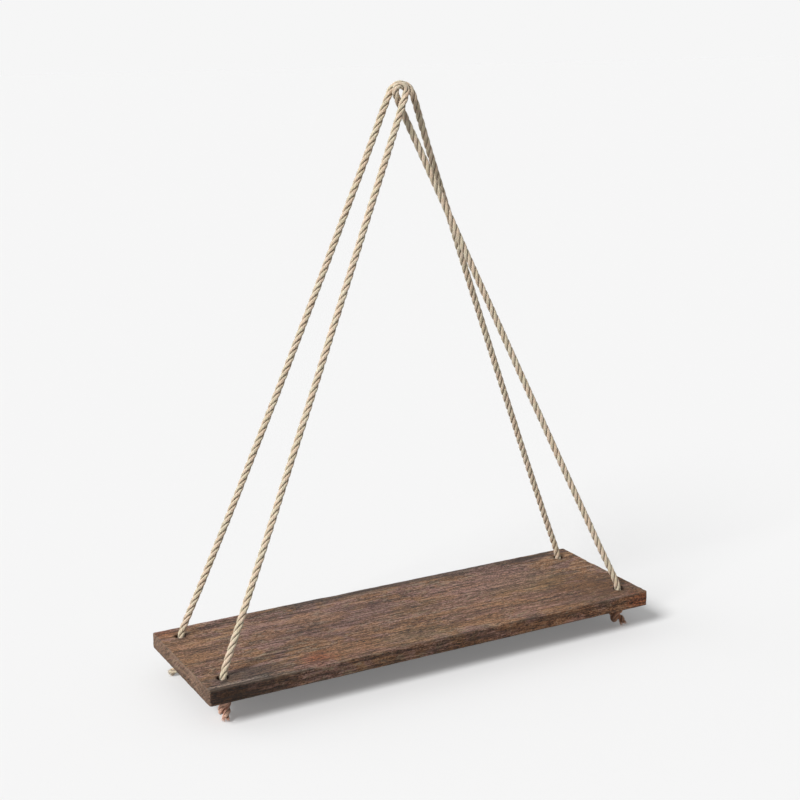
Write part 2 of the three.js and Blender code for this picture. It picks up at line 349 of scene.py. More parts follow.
class MeshParts:
    """Tubes gathered into one mesh, with the values that the jute's material reads."""

    def __init__(self) -> None:
        """Starts with no tubes."""
        self.points: list[np.ndarray] = []
        self.lay: list[np.ndarray] = []
        self.depth: list[np.ndarray] = []
        self.corners: list[np.ndarray] = []
        self.sizes: list[np.ndarray] = []
        self.flat: list[np.ndarray] = []
        self.count = 0

    def add_tubes(self, rings: np.ndarray, lay: np.ndarray, depth: np.ndarray) -> None:
        """Adds closed tubes that all have the same number of rings and sides.

        Args:
            rings: Points, as tubes by rings by sides by 3, turning about the tube's way.
            lay: Place of each point in the yarn, in the same layout.
            depth: How deep each point lies between strands and yarns, from 0 to 1, which the jute
                paints as shade.
        """
        tubes, count, sides = rings.shape[:3]
        start = self.count + np.arange(tubes)[:, None, None] * count * sides
        ring = np.arange(count - 1)[None, :, None] * sides
        side = np.arange(sides)[None, None, :]
        after = (side + 1) % sides
        quads = np.stack(np.broadcast_arrays(
            start + ring + side, start + ring + after,
            start + ring + sides + after, start + ring + sides + side,
        ), -1)
        flat_start = start[:, 0, :]
        first = flat_start + np.arange(sides)[None, ::-1]
        last = flat_start + (count - 1) * sides + np.arange(sides)[None, :]
        self.corners += [quads.reshape(-1), first.reshape(-1), last.reshape(-1)]
        self.sizes += [np.full(tubes * (count - 1) * sides, 4), np.full(2 * tubes, sides)]
        self.flat += [np.zeros(tubes * (count - 1) * sides, bool), np.ones(2 * tubes, bool)]
        self.points.append(rings.reshape(-1, 3))
        self.lay.append(lay.reshape(-1, 3))
        self.depth.append(depth.reshape(-1))
        self.count += tubes * count * sides

    def make(self, name: str, material: bpy.types.Material, nodes: Sequence[str]) -> Piece:
        """Makes a piece of rope of the tubes.

        Args:
            name: Name of the object and of its mesh.
            material: The jute.
            nodes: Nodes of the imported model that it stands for.

        Returns:
            The piece, at the origin.
        """
        mesh = bpy.data.meshes.new(name)
        corners, sizes = np.concatenate(self.corners), np.concatenate(self.sizes)
        mesh.vertices.add(self.count)
        mesh.vertices.foreach_set("co", np.concatenate(self.points).astype(np.float32).ravel())
        mesh.loops.add(len(corners))
        mesh.loops.foreach_set("vertex_index", corners.astype(np.int32))
        mesh.polygons.add(len(sizes))
        starts = np.concatenate([[0], np.cumsum(sizes)[:-1]])
        mesh.polygons.foreach_set("loop_start", starts.astype(np.int32))
        mesh.update(calc_edges=True)
        mesh.polygons.foreach_set("use_smooth", ~np.concatenate(self.flat))
        lay = mesh.attributes.new("lay", "FLOAT_VECTOR", "POINT")
        lay.data.foreach_set("vector", np.concatenate(self.lay).astype(np.float32).ravel())
        depth = mesh.attributes.new("depth", "FLOAT", "POINT")
        depth.data.foreach_set("value", np.concatenate(self.depth).astype(np.float32))
        mesh.validate()
        mesh.materials.append(material)
        piece = bpy.data.objects.new(name, mesh)
        link(piece)
        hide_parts(*nodes)
        return piece


def turned(angle: np.ndarray, across: np.ndarray, up: np.ndarray) -> np.ndarray:
    """Vectors turned by angles from one way towards another one square to it."""
    return np.cos(angle)[..., None] * across + np.sin(angle)[..., None] * up


@dataclass(frozen=True)
class RopeLay:
    """How a rope of three strands is laid.

    A strand's place, depth and width are shares of the rope's radius.
    """

    strands: int = 3
    lay_length: float = 0.024
    yarn_pitch: float = 0.012
    yarns: int = 6
    sides_per_yarn: int = 5
    groove_share: float = 0.11
    crest_width: float = 0.6
    out_share: float = 0.565
    deep_share: float = 0.445
    wide_share: float = 0.57
    fullness: float = 0.82
    swell_shares: tuple[float, float] = (0.045, 0.0225)
    swell_lengths: tuple[float, float] = (0.0049, 0.0021)
    swell_phases: tuple[float, float] = (2.1, 1.3)
    shaded_within: float = 0.86
    shade_span: float = 0.36
    groove_shade: float = 0.25
    pattern_radius: float = 0.0014
    pattern_gap: float = 0.02

    def strand_frames(self, line: Line, index: np.ndarray) -> tuple[np.ndarray, np.ndarray]:
        """Finds which way each strand lies from the rope's middle.

        Args:
            line: Centre line of the rope.
            index: Points of the line.

        Returns:
            Unit vectors outwards and sideways, as strands by points by 3.
        """
        turn = 2 * math.pi * (line.along[index] / self.lay_length)[None, :]
        turn = turn + (2 * math.pi * np.arange(self.strands) / self.strands)[:, None]
        across, up = line.firsts[index][None], line.seconds[index][None]
        return turned(turn, across, up), turned(turn, up, -across)

    def add_strands(self, parts: MeshParts, line: Line, index: np.ndarray,
                    radius: np.ndarray, spread: np.ndarray) -> None:
        """Adds the strands of one stretch of rope.

        Args:
            parts: Mesh that takes them.
            line: Centre line of the rope.
            index: Points of the line that the stretch runs through.
            radius: Radius of the rope at each of them.
            spread: How far the strands stand apart there, 1 where they lie together.
        """
        out, side = self.strand_frames(line, index)
        along = line.along[index]
        sides = self.yarns * self.sides_per_yarn
        start = 2 * math.pi * np.arange(sides) / sides
        angle = start - 2 * math.pi * (along / self.yarn_pitch)[:, None]
        in_yarn = (np.arange(sides) % self.sides_per_yarn) / self.sides_per_yarn
        groove = 1 - np.sin(math.pi * in_yarn) ** self.crest_width
        strand = np.arange(self.strands)[:, None]
        swell = 1.0
        for share, length, phase in zip(self.swell_shares, self.swell_lengths, self.swell_phases):
            swell = swell + share * np.sin(along / length + phase * strand)
        size, profile = (radius * swell)[..., None], 1 - self.groove_share * groove
        deep = self.deep_share * size * profile * self._fuller(np.cos(angle))
        wide = self.wide_share * size * profile * self._fuller(np.sin(angle))
        apart = (radius * spread)[:, None]
        offset = (self.out_share * apart + deep)[..., None] * out[:, :, None]
        offset = offset + wide[..., None] * side[:, :, None]
        # How deep each point lies between strands and in yarn grooves, painted as shade by the
        # jute
        share = np.linalg.norm(offset, axis=-1) / apart
        depth = np.clip((self.shaded_within - share) / self.shade_span, 0, 1)
        depth = np.clip(depth + self.groove_shade * groove, 0, 1)
        lay = np.empty_like(offset)
        lay[..., 0] = self.pattern_radius * np.cos(start) + self.pattern_gap * strand[..., None]
        lay[..., 1] = self.pattern_radius * np.sin(start)
        lay[..., 2] = along[None, :, None]
        parts.add_tubes(line.points[index][None, :, None] + offset, lay, depth)

    def _fuller(self, wave: np.ndarray) -> np.ndarray:
        """Sine or cosine drawn out, so that a strand's section fills its share of the rope."""
        return np.sign(wave) * np.abs(wave) ** self.fullness


@dataclass(frozen=True)
class LooseFibres:
    """Fibres that stand off a rope, and the brush of them at its cut end."""

    lay: RopeLay
    seed: int = 7
    radius: float = 0.000045
    taper: float = 0.65
    rings: int = 4
    sides: int = 3
    pattern_spread: float = 0.05
    per_metre: float = 1300
    at_least: int = 8
    end_points: int = 2
    round_strand: float = 0.65
    root_share: float = 0.93
    lift: tuple[float, float] = (0.12, 0.85)
    lean: tuple[float, float] = (0.4, 1.0)
    scatter: float = 0.3
    curl: float = 0.35
    fall: float = 0.25
    lengths: tuple[float, float] = (0.0014, 0.0048)
    reach: float = 0.0021
    fray_stream: int = 99
    fray_per_strand: int = 46
    fray_width: float = 2.2
    fray_root_share: float = 0.9
    fray_root_depth: float = 0.0004
    fray_fan: float = 0.45
    fray_opening: float = 0.2
    fray_curl: float = 0.3
    fray_lengths: tuple[float, float] = (0.0012, 0.0030)

    def add_along(self, parts: MeshParts, line: Line, index: np.ndarray, radius: np.ndarray,
                  stream: int) -> None:
        """Adds the loose fibres of one stretch of rope.

        Args:
            parts: Mesh that takes them.
            line: Centre line of the rope.
            index: Points of the line that the stretch runs through.
            radius: Radius of the rope at each of them.
            stream: Number that keeps the fibres of two stretches different.
        """
        random = np.random.default_rng((self.seed, stream))
        length = line.along[index[-1]] - line.along[index[0]]
        count = max(self.at_least, int(self.per_metre * length))
        at = random.integers(self.end_points, len(index) - self.end_points, count)
        strand = random.integers(0, self.lay.strands, count)
        angle = random.normal(0, self.round_strand, count)
        out, side = (v[strand, at] for v in self.lay.strand_frames(line, index))
        away = unit(turned(angle, out, side))
        thick, tangent = radius[at][:, None], line.tangents[index][at]
        root = line.points[index][at] + thick * self.lay.out_share * out
        root = root + thick * self.lay.deep_share * self.root_share * away
        lift = random.uniform(*self.lift, count)[:, None]
        way = random.choice([-1.0, 1.0], count)[:, None]
        way = way * random.uniform(*self.lean, count)[:, None]
        heading = way * tangent + lift * away
        heading = unit(heading + random.normal(0, self.scatter, (count, 3)))
        curl = random.normal(0, self.curl, (count, 3)) - self.fall * away
        level = (heading * tangent).sum(-1)
        off = np.sqrt(1 - level**2) + 0.5 * np.linalg.norm(curl, axis=-1)
        reach = np.minimum(random.uniform(*self.lengths, count), self.reach / off)
        self._add_hairs(parts, root, heading, curl, reach, self.radius, random)

    def add_fray(self, parts: MeshParts, line: Line, radius: float, spread: float) -> None:
        """Adds the brush of fibres at the cut end of a rope.

        Args:
            parts: Mesh that takes them.
            line: Centre line of the rope, which ends at the cut.
            radius: Radius of the rope there.
            spread: How far its strands stand apart there.
        """
        lay, random = self.lay, np.random.default_rng((self.seed, self.fray_stream))
        strand = np.repeat(np.arange(lay.strands), self.fray_per_strand)
        count = len(strand)
        ends = lay.strand_frames(line, np.array([len(line.points) - 1]))
        out, side = (v[strand, 0] for v in ends)
        angle, far = random.uniform(0, 2 * math.pi, count), random.uniform(0, 1, count)
        flat, far = turned(angle, out, side), np.sqrt(far)[:, None]
        root = line.points[-1] + radius * spread * lay.out_share * out
        root = root + self.fray_root_share * lay.deep_share * radius * far * flat
        root = root - self.fray_root_depth * line.tangents[-1]
        heading = line.tangents[-1] + self.fray_fan * far * flat + self.fray_opening * out
        curl = random.normal(0, self.fray_curl, (count, 3))
        reach = random.uniform(*self.fray_lengths, count)
        thick = self.fray_width * self.radius
        self._add_hairs(parts, root, unit(heading), curl, reach, thick, random)

    def _add_hairs(self, parts: MeshParts, root: np.ndarray, heading: np.ndarray,
                   curl: np.ndarray, reach: np.ndarray, radius: float,
                   random: np.random.Generator) -> None:
        """Adds thin tapering tubes that start at their roots and curl as they go.

        Args:
            parts: Mesh that takes them.
            root: Where each one starts.
            heading: Way that each one starts in.
            curl: How far each one turns off, as a share of its reach.
            reach: How long each one is.
            radius: Radius at the roots.
            random: Source of the ways that their sides face and of their colours.
        """
        share = np.linspace(0, 1, self.rings)[None, :, None]
        line = root[:, None] + reach[:, None, None] * (
            heading[:, None] * share + 0.5 * curl[:, None] * share**2
        )
        across = unit(np.cross(heading, random.normal(0, 1, heading.shape)))
        up = np.cross(heading, across)
        angle = 2 * math.pi * np.arange(self.sides) / self.sides
        ring = turned(angle[None], across[:, None], up[:, None])
        thin = (radius * (1 - self.taper * share))[..., None]
        rings = line[:, :, None] + thin * ring[:, None]
        lay = np.zeros_like(rings)
        shift = random.uniform(-self.pattern_spread, self.pattern_spread, len(root))
        lay[..., 0] = shift[:, None, None]
        lay[..., 2] = random.uniform(0, 1, len(root))[:, None, None]
        parts.add_tubes(rings, lay, np.zeros(rings.shape[:3]))


class NodeKit:
    """Adds nodes to one node tree and joins them."""

    def __init__(self, tree: bpy.types.NodeTree) -> None:
        """Takes the tree that the nodes go into."""
        self.tree = tree

    def put(self, socket: Socket, value: Value) -> None:
        """Links a socket to another one, or sets its value.

        Args:
            socket: Input of a node.
            value: Output of another node, a number, a vector or a colour without alpha.
        """
        if isinstance(value, Socket):
            self.tree.links.new(value, socket)
        elif isinstance(value, (int, float)):
            socket.default_value = value
        elif len(socket.default_value) > len(value):
            socket.default_value = (*value, 1.0)
        else:
            socket.default_value = tuple(value)

    def fill(self, node: bpy.types.Node, values: dict[str | int, Value]) -> None:
        """Links or sets several inputs of a node, by name or number."""
        for key, value in values.items():
            self.put(node.inputs[key], value)

    def add(self, kind: str, values: dict[str | int, Value] | None = None,
            **settings: object) -> bpy.types.Node:
        """Adds a node.

        Args:
            kind: Type of the node, without its common start.
            values: Values or sockets for its inputs, by name or number.
            **settings: The node's own properties.

        Returns:
            The node.
        """
        node = self.tree.nodes.new("ShaderNode" + kind)
        for name, setting in settings.items():
            setattr(node, name, setting)
        self.fill(node, values or {})
        return node

    def math(self, operation: str, *values: Value, clamp: bool = False) -> Socket:
        """Result of a sum on one, two or three values."""
        node = self.add("Math", dict(enumerate(values)), operation=operation, use_clamp=clamp)
        return node.outputs[0]

    def total(self, *parts: tuple[Socket, float]) -> Socket:
        """Adds up values, each times its own share.

        Args:
            *parts: Values and their shares.

        Returns:
            The total.
        """
        total = self.math("MULTIPLY", *parts[0])
        for value, share in parts[1:]:
            total = self.math("MULTIPLY_ADD", value, share, total)
        return total

    def vector(self, operation: str, *values: Value) -> Socket:
        """Vector result of a vector sum."""
        return self.add("VectorMath", dict(enumerate(values)), operation=operation).outputs[0]

    def length(self, vector: Value) -> Socket:
        """Length of a vector."""
        return self.add("VectorMath", {0: vector}, operation="LENGTH").outputs["Value"]

    def mix(self, share: Value, first: Value, second: Value, blend: str = "MIX") -> Socket:
        """Mix of two colours, all the first at 0 and all the second at 1."""
        values = {0: share, 6: first, 7: second}
        return self.add("Mix", values, data_type="RGBA", blend_type=blend).outputs[2]

    def washed(self, colour: Value, over: Value, mask: Value, share: float) -> Socket:
        """Colour with a share of another one laid over it where a mask is."""
        return self.mix(self.math("MULTIPLY", mask, share), colour, over)

    def stepped(self, value: Value, low: float, high: float) -> Socket:
        """0 below low and 1 above high, with a smooth rise between them."""
        values = {"Value": value, "From Min": low, "From Max": high}
        return self.add("MapRange", values, interpolation_type="SMOOTHSTEP").outputs[0]

    def noise(self, vector: Value, scale: Value, detail: float = 2.0, roughness: float = 0.5,
              distortion: Value = 0.0) -> Socket:
        """Noise from 0 to 1 over a vector."""
        values = {"Vector": vector, "Scale": scale, "Detail": detail,
                  "Roughness": roughness, "Distortion": distortion}
        return self.add("TexNoise", values).outputs[0]

    def group(self, tree: bpy.types.NodeTree, **values: Value) -> Socket:
        """Places a node group.

        Args:
            tree: The group.
            **values: Its inputs, whose names have capitals and spaces in the group.

        Returns:
            Its result.
        """
        node = self.add("Group", node_tree=tree)
        self.fill(node, {name.replace("_", " ").capitalize(): values[name] for name in values})
        return node.outputs[0]


class Effects:
    """Node groups for the effects that more than one material uses."""

    def __init__(self) -> None:
        """Builds each group once."""
        self.streaks = self._streaks()
        self.patch = self._patch()
        self.edge = self._edge()
        self.specks = self._specks()

    @staticmethod
    def _start(name: str, vectors: Sequence[str],
               floats: Sequence[str]) -> tuple[NodeKit, dict[str, Socket]]:
        """Starts a group with one value out.

        Args:
            name: Name of the group.
            vectors: Names of its inputs that are vectors.
            floats: Names of its inputs that are numbers.

        Returns:
            A kit for its nodes, and its input sockets by name.
        """
        tree = bpy.data.node_groups.new(name, "ShaderNodeTree")
        kinds = dict.fromkeys(vectors, "Vector") | dict.fromkeys(floats, "Float")
        for label, kind in kinds.items():
            tree.interface.new_socket(label, in_out="INPUT", socket_type="NodeSocket" + kind)
        tree.interface.new_socket("Mask", in_out="OUTPUT", socket_type="NodeSocketFloat")
        start = tree.nodes.new("NodeGroupInput")
        return NodeKit(tree), {label: start.outputs[label] for label in kinds}

    @staticmethod
    def _end(kit: NodeKit, value: Socket) -> bpy.types.NodeTree:
        """Puts a value out of a group and gives the group."""
        kit.put(kit.tree.nodes.new("NodeGroupOutput").inputs[0], value)
        return kit.tree

    def _streaks(self) -> bpy.types.NodeTree:
        """Builds noise that is drawn out along the fibres.

        Returns:
            The group, whose result uses the whole range from 0 to 1.
        """
        kit, given = self._start("Fibre streaks", ("Place", "Stretch"), ("Fineness", "Waver"))
        drawn = kit.vector("MULTIPLY", given["Place"], given["Stretch"])
        noise = kit.noise(drawn, given["Fineness"], detail=4.0, roughness=0.62,
                          distortion=given["Waver"])
        return self._end(kit, kit.stepped(noise, low=0.28, high=0.72))

    def _patch(self) -> bpy.types.NodeTree:
        """Builds a soft ragged patch round a place.

        Returns:
            The group, whose result is 1 at the patch's middle.
        """
        kit, given = self._start("Ragged patch", ("Place", "Centre", "Reach"), ("Ragged",))
        apart = kit.vector("SUBTRACT", given["Place"], given["Centre"])
        far = kit.length(kit.vector("DIVIDE", apart, given["Reach"]))
        drawn = kit.vector("MULTIPLY", given["Place"], (0.25, 1.0, 1.0))
        noise = kit.noise(drawn, 260.0, detail=3.0, roughness=0.6)
        noise = kit.math("SUBTRACT", noise, 0.5)
        far = kit.math("MULTIPLY_ADD", noise, given["Ragged"], far)
        outside = kit.stepped(far, low=0.35, high=1.0)
        return self._end(kit, kit.math("SUBTRACT", 1.0, outside))

    def _edge(self) -> bpy.types.NodeTree:
        """Builds wear along the edges of a block, broken up by noise.

        Returns:
            The group, whose result is 1 at the edges.
        """
        kit, given = self._start("Edge wear", ("Place", "Half size"), ("Width", "Broken"))
        past = kit.vector("SUBTRACT", kit.vector("ABSOLUTE", given["Place"]), given["Half size"])
        split = kit.add("SeparateXYZ", {0: past}).outputs
        low, high = (kit.math(op, split[0], split[1]) for op in ("MINIMUM", "MAXIMUM"))
        second = kit.math("MAXIMUM", low, kit.math("MINIMUM", high, split[2]))
        noise = kit.noise(given["Place"], 140.0, detail=4.0, roughness=0.65)
        noise = kit.math("MULTIPLY", kit.math("SUBTRACT", noise, 0.5), given["Broken"])
        shift = kit.math("MULTIPLY", noise, given["Width"])
        near = kit.math("DIVIDE", kit.math("ADD", second, shift), given["Width"])
        return self._end(kit, kit.stepped(near, low=-1.0, high=-0.15))

    def _specks(self) -> bpy.types.NodeTree:
        """Builds small scattered specks, such as pores and bits of bark.

        Returns:
            The group, whose result is 1 in a speck.
        """
        kit, given = self._start("Specks", ("Place", "Stretch"), ("Fineness", "Share"))
        drawn = kit.vector("MULTIPLY", given["Place"], given["Stretch"])
        noise, softness = kit.noise(drawn, given["Fineness"], detail=1.0), 0.06
        limit = kit.math("SUBTRACT", 1.0, given["Share"])
        over = kit.math("DIVIDE", kit.math("SUBTRACT", noise, limit), softness)
        return self._end(kit, kit.math("MULTIPLY", over, 1.0, clamp=True))


def new_material(name: str) -> tuple[bpy.types.Material, bpy.types.Node]:
    """Starts a material.

    Args:
        name: Name of the material.

    Returns:
        The material and its surface shader.
    """
    material = bpy.data.materials.new(name)
    material.use_nodes = True
    return material, material.node_tree.nodes["Principled BSDF"]


@dataclass(frozen=True)
class Streaks:
    """Streaks that run along the fibres.

    Args:
        stretch: How finely they follow each other each way, smallest along the fibres.
        fineness: How fine they are.
        waver: How much they waver.
        share: How much they add to the tone, where they do.
    """

    stretch: Place
    fineness: float
    waver: float
    share: float = 1.0


@dataclass(frozen=True)
class Specks:
    """Specks that are scattered over a surface.

    Args:
        stretch: How finely they follow each other each way.
        fineness: How fine they are.
        share: How much of the surface they take.
    """

    stretch: Place
    fineness: float
    share: float


@dataclass(frozen=True)
class Patch:
    """A place on the board where the colour differs, mostly by stain, in some places by painted
    shade and painted highlight.

    Args:
        centre: Its middle.
        reach: How far it goes each way.
        colour: Colour there.
        share: How much of that colour shows.
        ragged: How uneven its outline is.
    """

    centre: Place
    reach: Place
    colour: Colour
    share: float
    ragged: float = 1.1


class Skin(NodeKit):
    """Nodes of one material, with its shader and the place that its patterns follow."""

    def __init__(self, name: str, effects: Effects, attribute: str | None = None) -> None:
        """Starts a material.

        Args:
            name: Name of the material.
            effects: Shared node groups.
            attribute: Attribute that holds the place, if it isn't the place on the object.
        """
        self.material, self.surface = new_material(name)
        super().__init__(self.material.node_tree)
        self.effects = effects
        if attribute:
            self.place = self.add("Attribute", attribute_name=attribute).outputs["Vector"]
        else:
            self.place = self.add("TexCoord").outputs["Object"]

    def streaks(self, wanted: Streaks, place: Socket | None = None) -> Socket:
        """Lays streaks over the material.

        Args:
            wanted: The streaks.
            place: Place that they follow, if it isn't the material's own.

        Returns:
            Their strength, from 0 to 1.
        """
        place = self.place if place is None else place
        return self.group(self.effects.streaks, place=place, stretch=wanted.stretch,
                          fineness=wanted.fineness, waver=wanted.waver)

    def specks(self, wanted: Specks) -> Socket:
        """Specks over the material's place, 1 where there is one."""
        return self.group(self.effects.specks, place=self.place, stretch=wanted.stretch,
                          fineness=wanted.fineness, share=wanted.share)

    def patch(self, wanted: Patch) -> Socket:
        """Mask of a ragged patch, 1 at its middle."""
        return self.group(self.effects.patch, place=self.place, centre=wanted.centre,
                          reach=wanted.reach, ragged=wanted.ragged)

    def finish(self, colour: Socket, height: Socket, bump: float, relief: float,
               **plain: Value) -> bpy.types.Material:
        """Puts the colour and the relief on the shader.

        Args:
            colour: Colour of the surface.
            height: Height of the surface, from 0 to 1.
            bump: How strongly the height shows.
            relief: How high 1 stands.
            **plain: The shader's other inputs, whose names have capitals and spaces there.

        Returns:
            The material.
        """
        values = {"Height": height, "Strength": bump, "Distance": relief}
        normal = self.add("Bump", values).outputs[0]
        self.fill(self.surface, {"Base Color": colour, "Normal": normal})
        self.fill(self.surface, {name.replace("_", " "): plain[name] for name in plain})
        return self.material


PEAT: Colour = (0.105, 0.053, 0.022)
RUST: Colour = (0.34, 0.125, 0.055)
WARM: Colour = (0.285, 0.160, 0.090)
OCHRE: Colour = (0.240, 0.172, 0.092)
AMBER: Colour = (0.320, 0.195, 0.112)
SLATE: Colour = (0.112, 0.087, 0.073)
UMBER: Colour = (0.038, 0.020, 0.011)
SOOT: Colour = (0.034, 0.025, 0.021)
BARE: Colour = (0.35, 0.245, 0.165)
MAUVE: Colour = (0.270, 0.172, 0.146)
ROSE: Colour = (0.375, 0.240, 0.195)
SILVER: Colour = (0.300, 0.255, 0.215)

# Places on the left end that are darker, along its lower edge and towards its front
END_PATCHES = (
    Patch((-0.215, 0.000, -0.4700), (0.020, 0.090, 0.0060), UMBER, 0.34, 0.7),
    Patch((-0.215, -0.064, -0.4630), (0.020, 0.020, 0.0140), UMBER, 0.30, 0.9),
)

# Places on the upper face and then on the front edge, each laid over the ones before it; mostly
# stains, with painted shade over the front face and a painted highlight along the front-left edge
STAIN_AND_PAINTED_LIGHT_PATCHES = (
    Patch((-0.208, 0.060, -0.458), (0.016, 0.016, 0.008), RUST, 0.5, 1.5),
    Patch((-0.203, 0.012, -0.456), (0.046, 0.052, 0.006), AMBER, 0.70),
    Patch((-0.084, -0.051, -0.456), (0.056, 0.022, 0.006), WARM, 0.7),
    Patch((-0.114, -0.053, -0.456), (0.024, 0.016, 0.006), RUST, 0.45, 1.8),
    Patch((-0.113, -0.054, -0.456), (0.011, 0.008, 0.006), RUST, 0.45, 1.6),
    Patch((-0.015, -0.051, -0.456), (0.056, 0.020, 0.006), OCHRE, 0.6),
    Patch((-0.178, -0.053, -0.456), (0.058, 0.016, 0.006), SLATE, 0.8),
    # Worn front-left edge of the top, with a painted highlight along it
    Patch((-0.190, -0.066, -0.456), (0.060, 0.0065, 0.004), SILVER, 0.9),
    Patch((0.110, -0.030, -0.456), (0.150, 0.050, 0.006), WARM, 0.40),
    Patch((0.175, -0.022, -0.456), (0.055, 0.036, 0.006), PEAT, 0.45),
    Patch((0.160, -0.056, -0.456), (0.070, 0.018, 0.006), PEAT, 0.40),
    Patch((0.128, 0.006, -0.456), (0.062, 0.036, 0.006), OCHRE, 0.55),
    Patch((0.045, 0.066, -0.456), (0.170, 0.011, 0.008), SLATE, 0.85),
    Patch((-0.050, 0.064, -0.456), (0.090, 0.012, 0.008), SLATE, 0.75),
    Patch((0.195, -0.046, -0.456), (0.045, 0.032, 0.006), PEAT, 0.45),
    Patch((0.170, 0.061, -0.456), (0.042, 0.009, 0.006), SOOT, 0.8),
    Patch((-0.075, 0.015, -0.456), (0.110, 0.050, 0.006), MAUVE, 0.40),
    Patch((0.100, 0.026, -0.456), (0.085, 0.030, 0.006), ROSE, 0.60),
    Patch((0.010, 0.002, -0.456), (0.034, 0.020, 0.006), OCHRE, 0.30),
    Patch((0.051, -0.066, -0.457), (0.009, 0.005, 0.003), BARE, 0.95, 0.5),
    Patch((0.016, 0.033, -0.456), (0.0042, 0.0026, 0.004), SOOT, 0.75, 0.6),
    Patch((-0.020, -0.038, -0.456), (0.0050, 0.0024, 0.004), SOOT, 0.75, 0.6),
    Patch((0.065, 0.013, -0.456), (0.0042, 0.0022, 0.004), SOOT, 0.65, 0.6),
    Patch((0.137, -0.036, -0.456), (0.0085, 0.0040, 0.004), SOOT, 0.5, 1.2),
    Patch((0.020, -0.015, -0.456), (0.200, 0.0012, 0.004), SILVER, 0.45, 1.6),
    Patch((-0.090, 0.0505, -0.456), (0.050, 0.0012, 0.004), SILVER, 0.45, 1.6),
    # Front face much darker towards its left end
    Patch((-0.216, -0.071, -0.464), (0.110, 0.0075, 0.030), UMBER, 0.92, 0.7),
    Patch((0.206, -0.067, -0.464), (0.020, 0.010, 0.012), RUST, 0.85, 1.4),
    Patch((0.110, -0.071, -0.464), (0.140, 0.006, 0.020), RUST, 0.24, 1.2),
    # Painted shade: the whole front face darker than the top
    Patch((0.000, -0.071, -0.464), (0.300, 0.0045, 0.020), PEAT, 0.50, 0.4),
    # Worn front-left edge of the top, with a crisp painted highlight along it
    Patch((-0.135, -0.0690, -0.4560), (0.090, 0.0013, 0.0012), SILVER, 0.85, 0.7),
    Patch((0.110, -0.069, -0.461), (0.090, 0.006, 0.0022), UMBER, 0.4, 1.6),
    Patch((0.000, -0.069, -0.4645), (0.190, 0.006, 0.0012), SOOT, 0.45, 1.6),
    Patch((-0.060, -0.069, -0.4600), (0.170, 0.006, 0.0011), SOOT, 0.45, 1.6),
)


